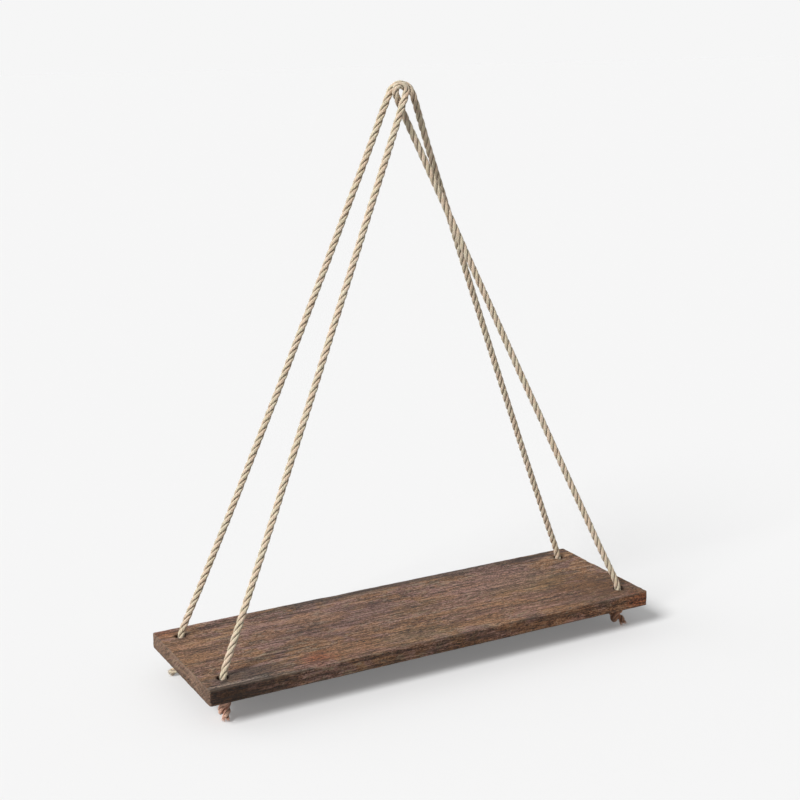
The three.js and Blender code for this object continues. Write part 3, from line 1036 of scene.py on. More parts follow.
@dataclass(frozen=True)
class WalnutStain:
    """Walnut stain on a rough-sawn board, worn along its edges and darker round its holes, with
    painted shade on its front face and a painted highlight along its front edge.
    """

    dark: Colour = (0.056, 0.032, 0.022)
    middle: Colour = (0.245, 0.140, 0.093)
    pale: Colour = (0.425, 0.305, 0.240)
    warm_tint: Colour = (1.14, 0.97, 0.72)
    cool_tint: Colour = (1.02, 0.92, 1.00)
    moss_tint: Colour = (0.92, 1.01, 0.92)
    worn: Colour = (0.21, 0.155, 0.115)
    worn_share: float = 0.28
    worn_width: float = 0.0022
    worn_broken: float = 3.0
    hole_dark_reach: Place = (0.0085, 0.0085, 0.03)
    hole_dark_share: float = 0.6
    hole_dark_ragged: float = 0.5
    fine: Streaks = Streaks((0.11, 1, 1), 900.0, 0.6, 0.90)
    coarse: Streaks = Streaks((0.055, 1, 1), 330.0, 0.9, 0.55)
    broad: Streaks = Streaks((0.3, 1, 1), 42.0, 0.6, 0.34)
    ripple: Streaks = Streaks((0.42, 1, 1), 620.0, 1.4, 1.00)
    grit: Streaks = Streaks((0.75, 1, 1), 760.0, 0.3, 0.75)
    hue: Streaks = Streaks((0.45, 1, 1), 48.0, 0.8)
    moss: Streaks = Streaks((0.40, 1, 1), 190.0, 0.9)
    checks: Streaks = Streaks((0.028, 1, 1), 360.0, 1.6)
    pores: Specks = Specks((0.10, 1, 1), 1100.0, 0.36)
    tone_base: float = 1.18
    tone_steps: tuple[float, float, float] = (0.05, 0.50, 1.05)
    hue_step: tuple[float, float] = (0.3, 0.7)
    moss_step: tuple[float, float] = (0.55, 0.85)
    check_step: tuple[float, float] = (0.66, 0.80)
    ripple_height: float = 0.7
    check_depth: float = 0.8
    pore_share: float = 0.55
    check_share: float = 0.65
    patch_contrast: float = 1.1
    patch_lift: float = 0.38
    patch_through: float = 0.35
    end_saw: Streaks = Streaks((1, 0.16, 1), 700.0, 0.4, 0.42)
    end_saw_angle: float = 33.0
    end_broad: Streaks = Streaks((1, 0.6, 1), 60.0, 0.4, 0.12)
    end_pores: Specks = Specks((1, 1, 1), 1500.0, 0.36)
    end_pore_share: float = 0.5
    end_silver: float = 0.14
    heart: Place = (0.0, -0.018, -0.54)
    ring_gap: float = 0.0055
    ring_wobble: float = 0.006
    ring_wobble_scale: float = 90.0
    ring_edge: float = 1.8
    ring_share: float = 0.30
    ring_step: tuple[float, float] = (0.2, 1.0)
    rough: tuple[float, float] = (0.62, 0.88)
    specular: float = 0.28
    bump: float = 0.8
    relief: float = 0.0009

    def long_grain(self, effects: Effects, sizes: ShelfSizes) -> bpy.types.Material:
        """Makes the material of the faces that run along the fibres.

        Args:
            effects: Shared node groups.
            sizes: Sizes of the shelf.

        Returns:
            The material.
        """
        skin = Skin("walnut_long_grain", effects)
        grains = (self.fine, self.coarse, self.broad, self.ripple, self.grit)
        laid = {grain: skin.streaks(grain) for grain in grains}
        tone = skin.total(*((laid[grain], grain.share) for grain in grains))
        tone = skin.math("SUBTRACT", tone, self.tone_base)
        hue = skin.stepped(skin.streaks(self.hue), *self.hue_step)
        moss = skin.stepped(skin.streaks(self.moss), *self.moss_step)
        tint = skin.mix(hue, self.warm_tint, self.cool_tint)
        tint = skin.mix(moss, tint, self.moss_tint)
        colour = skin.mix(1.0, self._toned(skin, tone), tint, blend="MULTIPLY")
        colour = self._patched(skin, colour, tone, STAIN_AND_PAINTED_LIGHT_PATCHES)
        colour = skin.washed(colour, SOOT, skin.specks(self.pores), self.pore_share)
        split = skin.stepped(skin.streaks(self.checks), *self.check_step)
        split = skin.math("MULTIPLY", split, self.check_share)
        colour = self._worn(skin, skin.mix(split, colour, SOOT), sizes)
        height = skin.math("MULTIPLY_ADD", laid[self.ripple], self.ripple_height,
                           laid[self.fine])
        sunk = skin.math("MULTIPLY", split, self.check_depth)
        height = skin.math("SUBTRACT", height, sunk)
        return self._finished(skin, colour, tone, height)

    def end_grain(self, effects: Effects, sizes: ShelfSizes) -> bpy.types.Material:
        """Makes the material of the two sawn ends.

        Args:
            effects: Shared node groups.
            sizes: Sizes of the shelf.

        Returns:
            The material.
        """
        skin = Skin("walnut_end_grain", effects)
        turn = {"Vector": skin.place, "Rotation": (math.radians(self.end_saw_angle), 0, 0)}
        saw = skin.streaks(self.end_saw, skin.add("Mapping", turn).outputs[0])
        rings, broad = self._rings(skin), skin.streaks(self.end_broad)
        tone = skin.total((saw, self.end_saw.share), (rings, self.ring_share),
                          (broad, self.end_broad.share))
        colour = skin.washed(self._toned(skin, tone), SILVER, broad, self.end_silver)
        mossy = skin.mix(1.0, colour, self.moss_tint, blend="MULTIPLY")
        colour = skin.mix(skin.stepped(rings, *self.ring_step), colour, mossy)
        colour = self._patched(skin, colour, tone, END_PATCHES)
        colour = skin.washed(colour, SOOT, skin.specks(self.end_pores), self.end_pore_share)
        return self._finished(skin, self._worn(skin, colour, sizes), tone, saw)

    def _toned(self, skin: Skin, tone: Socket) -> Socket:
        """Colours the stain by its tone.

        Args:
            skin: Material that shows it.
            tone: Tone, from dark to pale.

        Returns:
            The colour.
        """
        low, middle, high = self.tone_steps
        below = skin.mix(skin.stepped(tone, low, middle), self.dark, self.middle)
        return skin.mix(skin.stepped(tone, middle, high), below, self.pale)

    def _rings(self, skin: Skin) -> Socket:
        """Growth rings about the tree's heart, which lay below the board.

        Args:
            skin: Material that shows them.

        Returns:
            How dark they are, from 0 to 1.
        """
        flat = skin.vector("SUBTRACT", skin.place, self.heart)
        far = skin.length(skin.vector("MULTIPLY", flat, (0.0, 1.0, 1.0)))
        drawn = skin.vector("MULTIPLY", skin.place, (0.1, 1.0, 1.0))
        wobble = skin.noise(drawn, self.ring_wobble_scale)
        wobble = skin.math("MULTIPLY", wobble, self.ring_wobble)
        count = skin.math("DIVIDE", skin.math("ADD", far, wobble), self.ring_gap)
        return skin.math("POWER", skin.math("FRACT", count), self.ring_edge)

    def _patched(self, skin: Skin, colour: Socket, tone: Socket,
                 patches: tuple[Patch, ...]) -> Socket:
        """Gives the places where the colour differs, mostly by stain and in places by painted
        shade and highlight, their colours, which keep the grain.

        Args:
            skin: Material that shows them.
            colour: Colour without them.
            tone: Tone of the grain.
            patches: The places.

        Returns:
            The colour with them.
        """
        grain = skin.math("MULTIPLY_ADD", tone, self.patch_contrast, self.patch_lift)
        for patch in patches:
            tinted = skin.mix(self.patch_through, patch.colour, colour, blend="OVERLAY")
            tinted = skin.mix(1.0, tinted, grain, blend="MULTIPLY")
            colour = skin.washed(colour, tinted, skin.patch(patch), patch.share)
        return colour

    def _worn(self, skin: Skin, colour: Socket, sizes: ShelfSizes) -> Socket:
        """Rubs the stain off along the edges and darkens the wood round the holes.

        Args:
            skin: Material that shows it.
            colour: Colour without it.
            sizes: Sizes of the shelf.

        Returns:
            The colour with it.
        """
        centred = skin.vector("SUBTRACT", skin.place, (0, 0, sizes.middle_z))
        edge = skin.group(skin.effects.edge, place=centred, half_size=sizes.half_board,
                          width=self.worn_width, broken=self.worn_broken)
        colour = skin.washed(colour, self.worn, edge, self.worn_share)
        # Darker round the top of each hole, where the rope goes in
        for corner in CORNERS:
            hole_dark = Patch(tuple(sizes.hole(corner, sizes.top_z)), self.hole_dark_reach, SOOT,
                         self.hole_dark_share, self.hole_dark_ragged)
            colour = skin.washed(colour, hole_dark.colour, skin.patch(hole_dark), hole_dark.share)
        return colour

    def _finished(self, skin: Skin, colour: Socket, tone: Socket,
                  height: Socket) -> bpy.types.Material:
        """Finishes a material with a roughness that follows its tone.

        Args:
            skin: The material.
            colour: Its colour.
            tone: Tone of its grain.
            height: Height of its fibres.

        Returns:
            The material.
        """
        low, high = self.rough
        rough = skin.add("MapRange", {"Value": tone, "To Min": low, "To Max": high})
        return skin.finish(colour, height, self.bump, self.relief,
                           Roughness=rough.outputs[0], Specular_IOR_Level=self.specular)


# Colour that the stubs under the front holes took from the stain, lightened as painted light on
# stubs that hang in the board's shade, and how much of it
STUB_STAINS_AND_LIGHT: dict[Tint, tuple[Colour, float]] = {
    Tint.RUSSET: ((0.93, 0.50, 0.37), 0.55),
    Tint.RUSTY: ((0.68, 0.32, 0.19), 0.65),
}


@dataclass(frozen=True)
class JuteYarn:
    """Dry jute: pale crests, painted shade between the strands and yarns, with a tint that comes
    and goes.
    """

    tint: Tint
    crest: Colour = (0.95, 0.86, 0.71)
    shade: Colour = (0.54, 0.42, 0.295)
    # Dark brown of the bark specks, also painted as shade between strands and yarns
    bark_and_crevice_shade: Colour = (0.135, 0.090, 0.055)
    gold: Colour = (0.70, 0.53, 0.33)
    ash: Colour = (0.66, 0.59, 0.50)
    pink: Colour = (1.04, 0.985, 0.975)
    olive: Colour = (0.97, 1.01, 0.965)
    fibres: Streaks = Streaks((1, 1, 0.07), 3200.0, 0.2, 0.6)
    yarns: Streaks = Streaks((1, 1, 0.12), 900.0, 0.3, 0.4)
    along: Streaks = Streaks((0.5, 0.5, 1), 42.0, 0.2)
    blotches: Streaks = Streaks((1, 1, 0.5), 300.0, 0.4)
    hue: Streaks = Streaks((0.4, 0.4, 1), 150.0, 0.3)
    hue_step: tuple[float, float] = (0.35, 0.65)
    bark: Specks = Specks((1, 1, 0.3), 1400.0, 0.33)
    gold_share: float = 0.45
    ash_share: float = 0.25
    blotch_share: float = 0.40
    bark_share: float = 0.55
    soak_uneven: float = 0.3
    crevice_shade_share: float = 0.80
    fibre_height: float = 0.6
    rough: float = 0.9
    specular: float = 0.2
    sheen: float = 0.3
    bump: float = 0.7
    relief: float = 0.00028

    def material(self, effects: Effects) -> bpy.types.Material:
        """Makes the material, which follows the yarns by the mesh's own values.

        Args:
            effects: Shared node groups.

        Returns:
            The material.
        """
        skin = Skin("jute_" + self.tint.value, effects, "lay")
        depth = skin.add("Attribute", attribute_name="depth").outputs["Fac"]
        fibres, yarns = skin.streaks(self.fibres), skin.streaks(self.yarns)
        along = skin.streaks(self.along)
        tone = skin.total((yarns, self.yarns.share), (fibres, self.fibres.share))
        colour = skin.mix(tone, self.shade, self.crest)
        for over, mask, share in (
            (self.gold, along, self.gold_share),
            (self.ash, yarns, self.ash_share),
            (self.shade, skin.streaks(self.blotches), self.blotch_share),
            (self.bark_and_crevice_shade, skin.specks(self.bark), self.bark_share),
        ):
            colour = skin.washed(colour, over, mask, share)
        hue = skin.stepped(skin.streaks(self.hue), *self.hue_step)
        cast = skin.mix(hue, self.olive, self.pink)
        colour = skin.mix(1.0, colour, cast, blend="MULTIPLY")
        # Stain colour of the front stubs, lightened to stand in for light on stubs in the board's
        # shade
        if self.tint in STUB_STAINS_AND_LIGHT:
            stain, share = STUB_STAINS_AND_LIGHT[self.tint]
            soaked = skin.math("MULTIPLY_ADD", along, self.soak_uneven, share)
            colour = skin.mix(soaked, colour, stain)
        # Painted shade between the strands and yarns, as strong as the mesh's depth says
        colour = skin.washed(colour, self.bark_and_crevice_shade, depth, self.crevice_shade_share)
        height = skin.math("MULTIPLY_ADD", fibres, self.fibre_height, yarns)
        return skin.finish(colour, height, self.bump, self.relief, Roughness=self.rough,
                           Specular_IOR_Level=self.specular, Sheen_Weight=self.sheen)


@dataclass(frozen=True)
class Stretch:
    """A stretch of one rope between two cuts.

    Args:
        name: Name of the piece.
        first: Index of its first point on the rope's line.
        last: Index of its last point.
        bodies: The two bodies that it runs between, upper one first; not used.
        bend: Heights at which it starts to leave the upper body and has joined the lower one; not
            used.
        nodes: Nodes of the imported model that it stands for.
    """

    name: str
    first: int
    last: int
    bodies: tuple[Body, Body]
    bend: tuple[float, float]
    nodes: tuple[str, ...]

    def length(self, line: Line) -> float:
        """Length of the rope in it."""
        return float(line.along[self.last] - line.along[self.first])


@dataclass(frozen=True)
class RopeTurn:
    """Sizes of the ropes' turns over the hook."""

    arch_radius: float = 0.0113
    arch_offset: float = 0.0035
    eye_offset: float = -0.0006
    eye_lean: float = 0.0016
    eye_open_angle: float = 20.0
    crossing_depth: float = 0.0098
    crossing_spacing: float = 0.007
    rope_spacing: float = 0.0079
    spans: int = 8

    def arch(self, sizes: ShelfSizes) -> np.ndarray:
        """Lays the back rope's wide arch over the hook.

        Args:
            sizes: Sizes of the shelf.

        Returns:
            Points of the arch, from its left leg to its right leg.
        """
        slope = math.atan2(sizes.hole_x, sizes.hang_height)
        drop = self.arch_radius - sizes.turn_radius
        centre_z = -math.sqrt(drop**2 - self.arch_offset**2)
        angle = np.linspace(math.pi - slope, slope, self.spans + 1)
        x = self.arch_offset + self.arch_radius * np.cos(angle)
        z = centre_z + self.arch_radius * np.sin(angle)
        return np.stack([x, np.full_like(x, self.rope_spacing / 2), z], 1)

    def eye(self, sizes: ShelfSizes) -> np.ndarray:
        """Lays the front rope's narrow eye round the hook.

        Args:
            sizes: Sizes of the shelf.

        Returns:
            Points of the eye, with the points below the hook at which its legs cross.
        """
        opening = math.radians(self.eye_open_angle)
        angle = np.linspace(-opening, math.pi + opening, self.spans + 1)
        front_y = -self.rope_spacing / 2
        y = front_y + np.linspace(-self.eye_lean, self.eye_lean, self.spans + 1)
        x = self.eye_offset + sizes.turn_radius * np.cos(angle)
        loop = np.stack([x, y, sizes.turn_radius * np.sin(angle)], 1)
        reach = self.crossing_spacing / 2
        ends = [[self.eye_offset, front_y + way * reach, -self.crossing_depth] for way in (-1, 1)]
        return np.vstack([ends[:1], loop, ends[1:]])


@dataclass
class Rope:
    """One rope, from inside its left hole over the hook to inside its right hole."""

    name: str
    left: Corner
    right: Corner
    turn: np.ndarray
    sizes: ShelfSizes
    fibres: LooseFibres
    turn_node: str
    visual_radius: float = 0.0029
    curve_spans: int = 220
    step: float = 0.0004
    long_stretch: int = 400
    leg_shares: tuple[float, ...] = (0.1, 0.3, 0.5, 0.7, 0.9)
    rim_lean_share: float = 0.9
    hole_lean_share: float = 0.35
    turn_cut: float = -0.0099
    neck_cut: float = -0.0355
    turn_bend: tuple[float, float] = (0.0060, -0.0087)
    neck_bend: tuple[float, float] = (-0.0111, -0.0340)
    leg_bend: tuple[float, float] = (-0.0370, -0.1050)

    def leg_route(self, corner: Corner, top: np.ndarray) -> list[np.ndarray]:
        """Points of one leg from below its turn down into the middle of its hole.

        Args:
            corner: Corner that the leg goes to.
            top: Last point of the turn on that side.

        Returns:
            The points, without the turn's own.
        """
        sizes = self.sizes
        inward = unit(-sizes.hole(corner, 0.0))
        lean = (sizes.hole_diameter - sizes.rope_diameter) / 2 - sizes.touch_gap - sizes.wire_gap
        half = sizes.rope_diameter / 2
        rim = sizes.hole(corner, sizes.top_z + half) + inward * lean * self.rim_lean_share
        points = [
            top + (rim - top) * share + inward * corner.sag * 4 * share * (1 - share)
            for share in self.leg_shares
        ]
        in_hole = sizes.hole(corner, sizes.top_z - half) + inward * lean * self.hole_lean_share
        return [*points, rim, in_hole, sizes.hole(corner, sizes.middle_z)]

    def line(self) -> Line:
        """Lays out the whole rope.

        Returns:
            Its centre line, from its left end to its right end.
        """
        left = self.leg_route(self.left, self.turn[0])[::-1]
        right = self.leg_route(self.right, self.turn[-1])
        route = np.vstack([left, self.turn, right])
        return Line(curve_through(route, self.curve_spans), self.step)

    def stretches(self, line: Line) -> dict[str, Stretch]:
        """Cuts the rope into its turn, and a neck and a leg on each side.

        Args:
            line: Centre line of the rope.

        Returns:
            The stretches by their names.
        """
        top = int(line.points[:, 2].argmax())
        made, inner = [], {}
        for corner, way, end in ((self.left, -1, 0), (self.right, 1, len(line.points) - 1)):
            near = line.crossing(self.turn_cut, top, way)
            far = line.crossing(self.neck_cut, top, way)
            inner[way] = near
            made += [
                Stretch(corner.neck, *sorted((near, far)), (Body.UPPER_NECKS, Body.LOWER_NECKS),
                        self.neck_bend,
                        (f"{corner.name}_upper_neck", f"{corner.name}_lower_neck")),
                Stretch(corner.leg, *sorted((far, end)), (Body.LOWER_NECKS, Body.SHELF),
                        self.leg_bend, (f"{corner.name}_leg",)),
            ]
        turn = Stretch(f"{self.name}_turn", inner[-1], inner[1], (Body.TURNS, Body.UPPER_NECKS),
                       self.turn_bend, (self.turn_node,))
        return {stretch.name: stretch for stretch in (turn, *made)}

    def build(self, material: bpy.types.Material, knots: dict[str, Piece], stream: int) -> None:
        """Makes the rope's pieces and dresses them.

        Args:
            material: The jute.
            knots: Knots already made, by their corner's name; not used.
            stream: Number that keeps the loose fibres of its first piece different.
        """
        line = self.line()
        stretches = self.stretches(line)
        made = {}
        for number, stretch in enumerate(stretches.values()):
            made[stretch.name] = self._piece(line, stretch, material, stream + number)
            LOG.info("%s: %.3f m of rope", stretch.name, stretch.length(line))
        turn = f"{self.name}_turn"
        self._declare(stretches[turn], line)
        for corner in (self.left, self.right):
            self._declare(stretches[corner.leg], line)
        for stretch in stretches.values():
            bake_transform(made[stretch.name])
        LOG.info("%s: %.3f m from hole to hole", self.name, line.length)

    def _piece(self, line: Line, stretch: Stretch, material: bpy.types.Material,
               stream: int) -> Piece:
        """Makes one stretch with its loose fibres.

        Args:
            line: Centre line of the rope.
            stretch: The stretch.
            material: The jute.
            stream: Number that keeps its fibres different.

        Returns:
            The piece.
        """
        every = 2 if stretch.last - stretch.first > self.long_stretch else 1
        index = np.arange(stretch.first, stretch.last + 1, every)
        index = np.unique(np.append(index, stretch.last))
        radius = np.full(len(index), self.visual_radius)
        parts = MeshParts()
        self.fibres.lay.add_strands(parts, line, index, radius, np.ones(len(index)))
        self.fibres.add_along(parts, line, index, radius, stream)
        return parts.make(stretch.name, material, stretch.nodes)

    def _declare(self, stretch: Stretch, line: Line) -> None:
        """Measures the path of a stretch, from its higher end down, and its length, and keeps
        neither.

        Args:
            stretch: The stretch that it shows.
            line: Centre line of the rope.
        """
        path = line.points[stretch.first:stretch.last + 1]
        if path[-1][2] > path[0][2]:
            path = path[::-1]
        stretch.length(line)


@dataclass
class StopperKnot:
    """Overhand knot tied in a rope's end under its hole, with a short frayed tail.

    Shares, and the points of the standing part and of the tail, are counted in diameters of
    the knot's own cord.
    """

    corner: Corner
    sizes: ShelfSizes
    fibres: LooseFibres
    ring_share: float = 1.28
    wind_share: float = 0.58
    depth_share: float = 0.6
    hole_axis_share: float = 0.75
    rounds: int = 2
    winds: int = 3
    open_angle: float = 30.0
    spans: int = 40
    curve_spans: int = 40
    step: float = 0.0005
    visual_radius: float = 0.0026
    tail_radius: float = 0.0029
    tail_spread: float = 1.2
    squeeze_length: float = 0.007
    fray_length: float = 0.005
    bare_points: int = 16
    standing: tuple[Place, ...] = (
        (0.75, 2.95, 0), (0.88, 2.55, 0.08), (1.12, 2.08, 0.32), (1.27, 1.6, 0.52),
        (1.06, 1.22, 0.58),
    )
    tail_root: Place = (1.06, -1.22, -0.58)
    tail_steps: tuple[Place, ...] = (
        (0.44, -0.33, 0.08), (0.99, -0.78, 0.16), (1.54, -1.28, 0.22),
    )

    def own_points(self) -> np.ndarray:
        """Ties the knot in its own frame, with X the way that its tail leans and Y up.

        Returns:
            Points of its cord, from inside the hole to the end of the tail.
        """
        opening = math.radians(self.open_angle)
        angle = np.linspace(opening, 2 * math.pi - opening, self.spans + 1)
        wind, around = self.winds * angle, self.rounds * angle
        out = self.ring_share + self.wind_share * np.cos(wind)
        body = [out * np.cos(around), out * np.sin(around), self.depth_share * np.sin(wind)]
        reach = (self.corner.tail_lean, self.corner.tail_drop, 1)
        tail = np.array(self.tail_root) + np.array(self.tail_steps) * reach
        points = np.vstack([self.standing, np.stack(body, 1), [self.tail_root], tail])
        return points * self.sizes.knotted_diameter

    def line(self) -> Line:
        """Lays out the knot under its hole.

        Returns:
            Its centre line, from inside the hole to the end of its tail.
        """
        sizes, own = self.sizes, self.own_points()
        top = own[len(self.standing):, 1].max() + sizes.knotted_diameter / 2
        origin_z = sizes.bottom_z - sizes.touch_gap - top
        heading = math.radians(self.corner.knot_heading)
        outward = np.array([math.cos(heading), math.sin(heading), 0])
        across = np.array([math.sin(heading), -math.cos(heading), 0])
        origin = sizes.hole(self.corner, origin_z)
        origin = origin - outward * self.hole_axis_share * sizes.knotted_diameter
        placed = origin + own[:, :1] * outward + own[:, 2:] * across
        placed[:, 2] = origin_z + own[:, 1]
        start = sizes.hole(self.corner, sizes.middle_z - sizes.touch_gap)
        return Line(curve_through(np.vstack([start, placed]), self.curve_spans), self.step)

    def build(self, material: bpy.types.Material, stream: int) -> Piece:
        """Makes the knot and dresses it.

        Args:
            material: The jute.
            stream: Number that keeps the knots' fibres different.

        Returns:
            The knot.
        """
        line = self.line()
        index = np.arange(len(line.points))
        entering = np.clip(1 - line.along / self.squeeze_length, 0, 1)
        fraying = np.clip(1 - (line.length - line.along) / self.fray_length, 0, 1)
        slim, parts = self.visual_radius, MeshParts()
        radius = slim + (self.sizes.rope_diameter / 2 - slim) * entering
        radius = radius + (self.tail_radius - slim) * fraying
        spread = 1 + (self.tail_spread - 1) * fraying
        self.fibres.lay.add_strands(parts, line, index, radius, spread)
        hairy = slice(self.bare_points, None)
        self.fibres.add_along(parts, line, index[hairy], radius[hairy], stream)
        self.fibres.add_fray(parts, line, self.tail_radius, self.tail_spread)
        name = f"{self.corner.name}_stopper_knot"
        piece = parts.make(name, material, [f"{self.corner.name}_knot"])
        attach(piece, Body.SHELF.value)
        LOG.info("%s: %.3f m of rope, lowest at %.4f m", piece.name, line.length,
                 float(line.points[:, 2].min()))
        return piece


@dataclass(frozen=True)
class Relief:
    """Relief that a face of the board is given.

    Args:
        name: Its name.
        grain: Size of its features along, across and through the board.
        depth: Its full depth.
        level: Share of it that stays below the face.
        rim_only: Whether it is only along the board's edges.
    """

    name: str
    grain: Place
    depth: float
    level: float = 0.6
    rim_only: bool = False


@dataclass(frozen=True)
class Dent:
    """A knock in the board's edge.

    Args:
        place: Its middle.
        push: How far the wood is pushed in there.
        reach: How far round it the wood gives.
    """

    place: Place
    push: Place
    reach: float


@dataclass
class Board:
    """The rough-sawn board, with eased edges, rounded corners and four bored holes."""

    sizes: ShelfSizes
    corner_radius: float = 0.0025
    corner_segments: int = 5
    edge_round: float = 0.0009
    edge_segments: int = 3
    hole_ease: float = 0.0004
    hole_ease_steps: int = 2
    hole_sides: int = 32
    cells: Place = (0.0026, 0.00115, 0.0016)
    rim_width: float = 0.004
    smooth_angle: float = 50.0
    relief_octaves: int = 3
    reliefs: tuple[Relief, ...] = (
        Relief("long_waves", (0.080, 0.016, 0.016), 0.00024),
        Relief("raised_grain", (0.017, 0.0026, 0.0026), 0.00045),
        Relief("saw_marks", (0.0052, 0.014, 0.014), 0.00015),
        Relief("rubbed_edges", (0.008, 0.006, 0.006), 0.00040, 1.0, True),
    )
    dent_core: float = 1.2
    dents: tuple[Dent, ...] = (
        Dent((0.050, -0.069, -0.456), (0, 0.0009, -0.0013), 0.007),
        Dent((-0.118, -0.069, -0.456), (0, 0.0004, -0.0007), 0.006),
        Dent((0.142, -0.069, -0.456), (0, 0.0004, -0.0006), 0.009),
        Dent((-0.215, -0.031, -0.456), (0.0006, 0, -0.0006), 0.006),
        Dent((0.215, 0.022, -0.456), (-0.0003, 0, -0.0004), 0.007),
        Dent((-0.040, 0.069, -0.456), (0, -0.0003, -0.0003), 0.012),
        Dent((-0.215, -0.069, -0.463), (0.0007, 0.0007, 0), 0.005),
    )

    def build(self, stain: WalnutStain, effects: Effects) -> Piece:
        """Makes the board and dresses it.

        Args:
            stain: Finish of the wood.
            effects: Shared node groups.

        Returns:
            The board.
        """
        board = self._blank()
        self._bore(board)
        self._rule(board)
        self._knock(board)
        self._weather(board)
        board.data.materials.append(stain.long_grain(effects, self.sizes))
        board.data.materials.append(stain.end_grain(effects, self.sizes))
        self._mark_ends(board)
        bpy.ops.object.shade_smooth_by_angle(angle=math.radians(self.smooth_angle))
        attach(board, Body.SHELF.value)
        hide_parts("board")
        LOG.info("%s: %d faces", board.name, len(board.data.polygons))
        return board

    def _blank(self) -> Piece:
        """Makes a plain board with rounded corners and eased edges.

        Returns:
            The board.
        """
        sizes, ease = self.sizes, self.edge_round
        board = add_primitive(
            bpy.ops.mesh.primitive_cube_add, size=1.0, location=(0, 0, sizes.middle_z),
            scale=(sizes.board_length, sizes.board_width, sizes.board_thickness),
        )
        board.name = board.data.name = "stained_board"
        with editing(board):
            select(board, "EDGE", lambda ends: abs(ends[0].z - ends[1].z) > ease)
            bpy.ops.mesh.bevel(offset=self.corner_radius, segments=self.corner_segments,
                               affect="EDGES")
            select(board, "EDGE", lambda ends: abs(ends[0].z - ends[1].z) < ease)
            bpy.ops.mesh.bevel(offset=ease, segments=self.edge_segments, affect="EDGES")
        return board

    def _bore(self, board: Piece) -> None:
        """Bores the four holes, a little flared where they pass the faces.

        Args:
            board: The board.
        """
        first = self._cutter(CORNERS[0])
        for corner in CORNERS:
            cutter = first.copy()
            cutter.data = first.data.copy()
            link(cutter)
            move = self.sizes.hole(corner, 0.0) - self.sizes.hole(CORNERS[0], 0.0)
            cutter.data.transform(Matrix.Translation(Vector(move)))
            bore = board.modifiers.new("bore", "BOOLEAN")
            bore.operation, bore.solver, bore.object = "DIFFERENCE", "EXACT", cutter
            use_only(board)
            bpy.ops.object.modifier_apply(modifier=bore.name)
            bpy.data.objects.remove(cutter)
        bpy.data.objects.remove(first)

    def _cutter(self, corner: Corner) -> Piece:
        """Makes the shape of one hole, with its flares and past them.

        Args:
            corner: Corner that the hole is at.

        Returns:
            The shape, to be cut away.
        """
        sizes, ease = self.sizes, self.hole_ease
        radius = sizes.hole_diameter / 2
        cutter = add_primitive(
            bpy.ops.mesh.primitive_cylinder_add, vertices=self.hole_sides, radius=radius,
            depth=sizes.board_thickness - 2 * ease,
            location=tuple(sizes.hole(corner, sizes.middle_z)),
        )
        with editing(cutter):
            for way in (1, -1):
                grown = radius
                for _ in range(self.hole_ease_steps):
                    far = max(v.co.z * way for v in bmesh.from_edit_mesh(cutter.data).verts)
                    select(cutter, "FACE", lambda face: all(c.z * way > far - TINY for c in face))
                    bpy.ops.mesh.extrude_region_move(
                        TRANSFORM_OT_translate={"value": (0, 0, way * ease)})
                    share = (grown + ease) / grown
                    bpy.ops.transform.resize(
                        value=(share, share, 1),
                        center_override=tuple(sizes.hole(corner, way * (far + ease))))
                    grown += ease
        return cutter

    def _rule(self, board: Piece) -> None:
        """Rules the board into small cells, so that it can take relief.

        Args:
            board: The board.
        """
        sizes = self.sizes
        lengths = (sizes.board_length, sizes.board_width, sizes.board_thickness)
        middles = (0.0, 0.0, sizes.middle_z)
        with editing(board):
            for axis, (middle, length, cell) in enumerate(zip(middles, lengths, self.cells)):
                count = int(length / cell)
                normal = [float(k == axis) for k in range(3)]
                for i in range(1, count + 1):
                    place = middle + length * (i / (count + 1) - 0.5)
                    bpy.ops.mesh.select_all(action="SELECT")
                    bpy.ops.mesh.bisect(plane_co=[place * k for k in normal], plane_no=normal,
                                        threshold=TINY)

    def _knock(self, board: Piece) -> None:
        """Pushes the wood in where its edges were knocked.

        Args:
            board: The board.
        """
        core = self.dent_core * max(self.cells[0], self.edge_round)
        with editing(board):
            for dent in self.dents:
                place = Vector(dent.place)
                select(board, "VERT", lambda point: (point[0] - place).length < core)
                bpy.ops.transform.translate(
                    value=dent.push, use_proportional_edit=True,
                    proportional_edit_falloff="SMOOTH", proportional_size=dent.reach)

    def _weather(self, board: Piece) -> None:
        """Gives the faces their relief.

        Args:
            board: The board.
        """
        rim = self._rim_group(board)
        for relief in self.reliefs:
            texture = bpy.data.textures.new(relief.name, "CLOUDS")
            texture.noise_scale, texture.noise_depth = 1.0, self.relief_octaves
            scale = bpy.data.objects.new(relief.name, None)
            link(scale)
            scale.scale = relief.grain
            bpy.context.view_layer.update()
            worn = board.modifiers.new(relief.name, "DISPLACE")
            worn.texture, worn.texture_coords = texture, "OBJECT"
            worn.texture_coords_object = scale
            worn.strength, worn.mid_level = relief.depth, relief.level
            if relief.rim_only:
                worn.vertex_group = rim
            use_only(board)
            bpy.ops.object.modifier_apply(modifier=worn.name)
            bpy.data.objects.remove(scale)
            bpy.data.textures.remove(texture)
        board.vertex_groups.clear()

    def _rim_group(self, board: Piece) -> str:
        """Marks the places near an edge of the board.

        Args:
            board: The board.

        Returns:
            Name of the vertex group.
        """
        group = board.vertex_groups.new(name="rim")
        for vertex in board.data.vertices:
            x, y, z = vertex.co.x, vertex.co.y, vertex.co.z - self.sizes.middle_z
            inside = sorted(h - abs(c) for h, c in zip(self.sizes.half_board, (x, y, z)))
            share = 1 - inside[1] / self.rim_width
            if share > 0:
                group.add([vertex.index], share * share * (3 - 2 * share), "REPLACE")
        return group.name

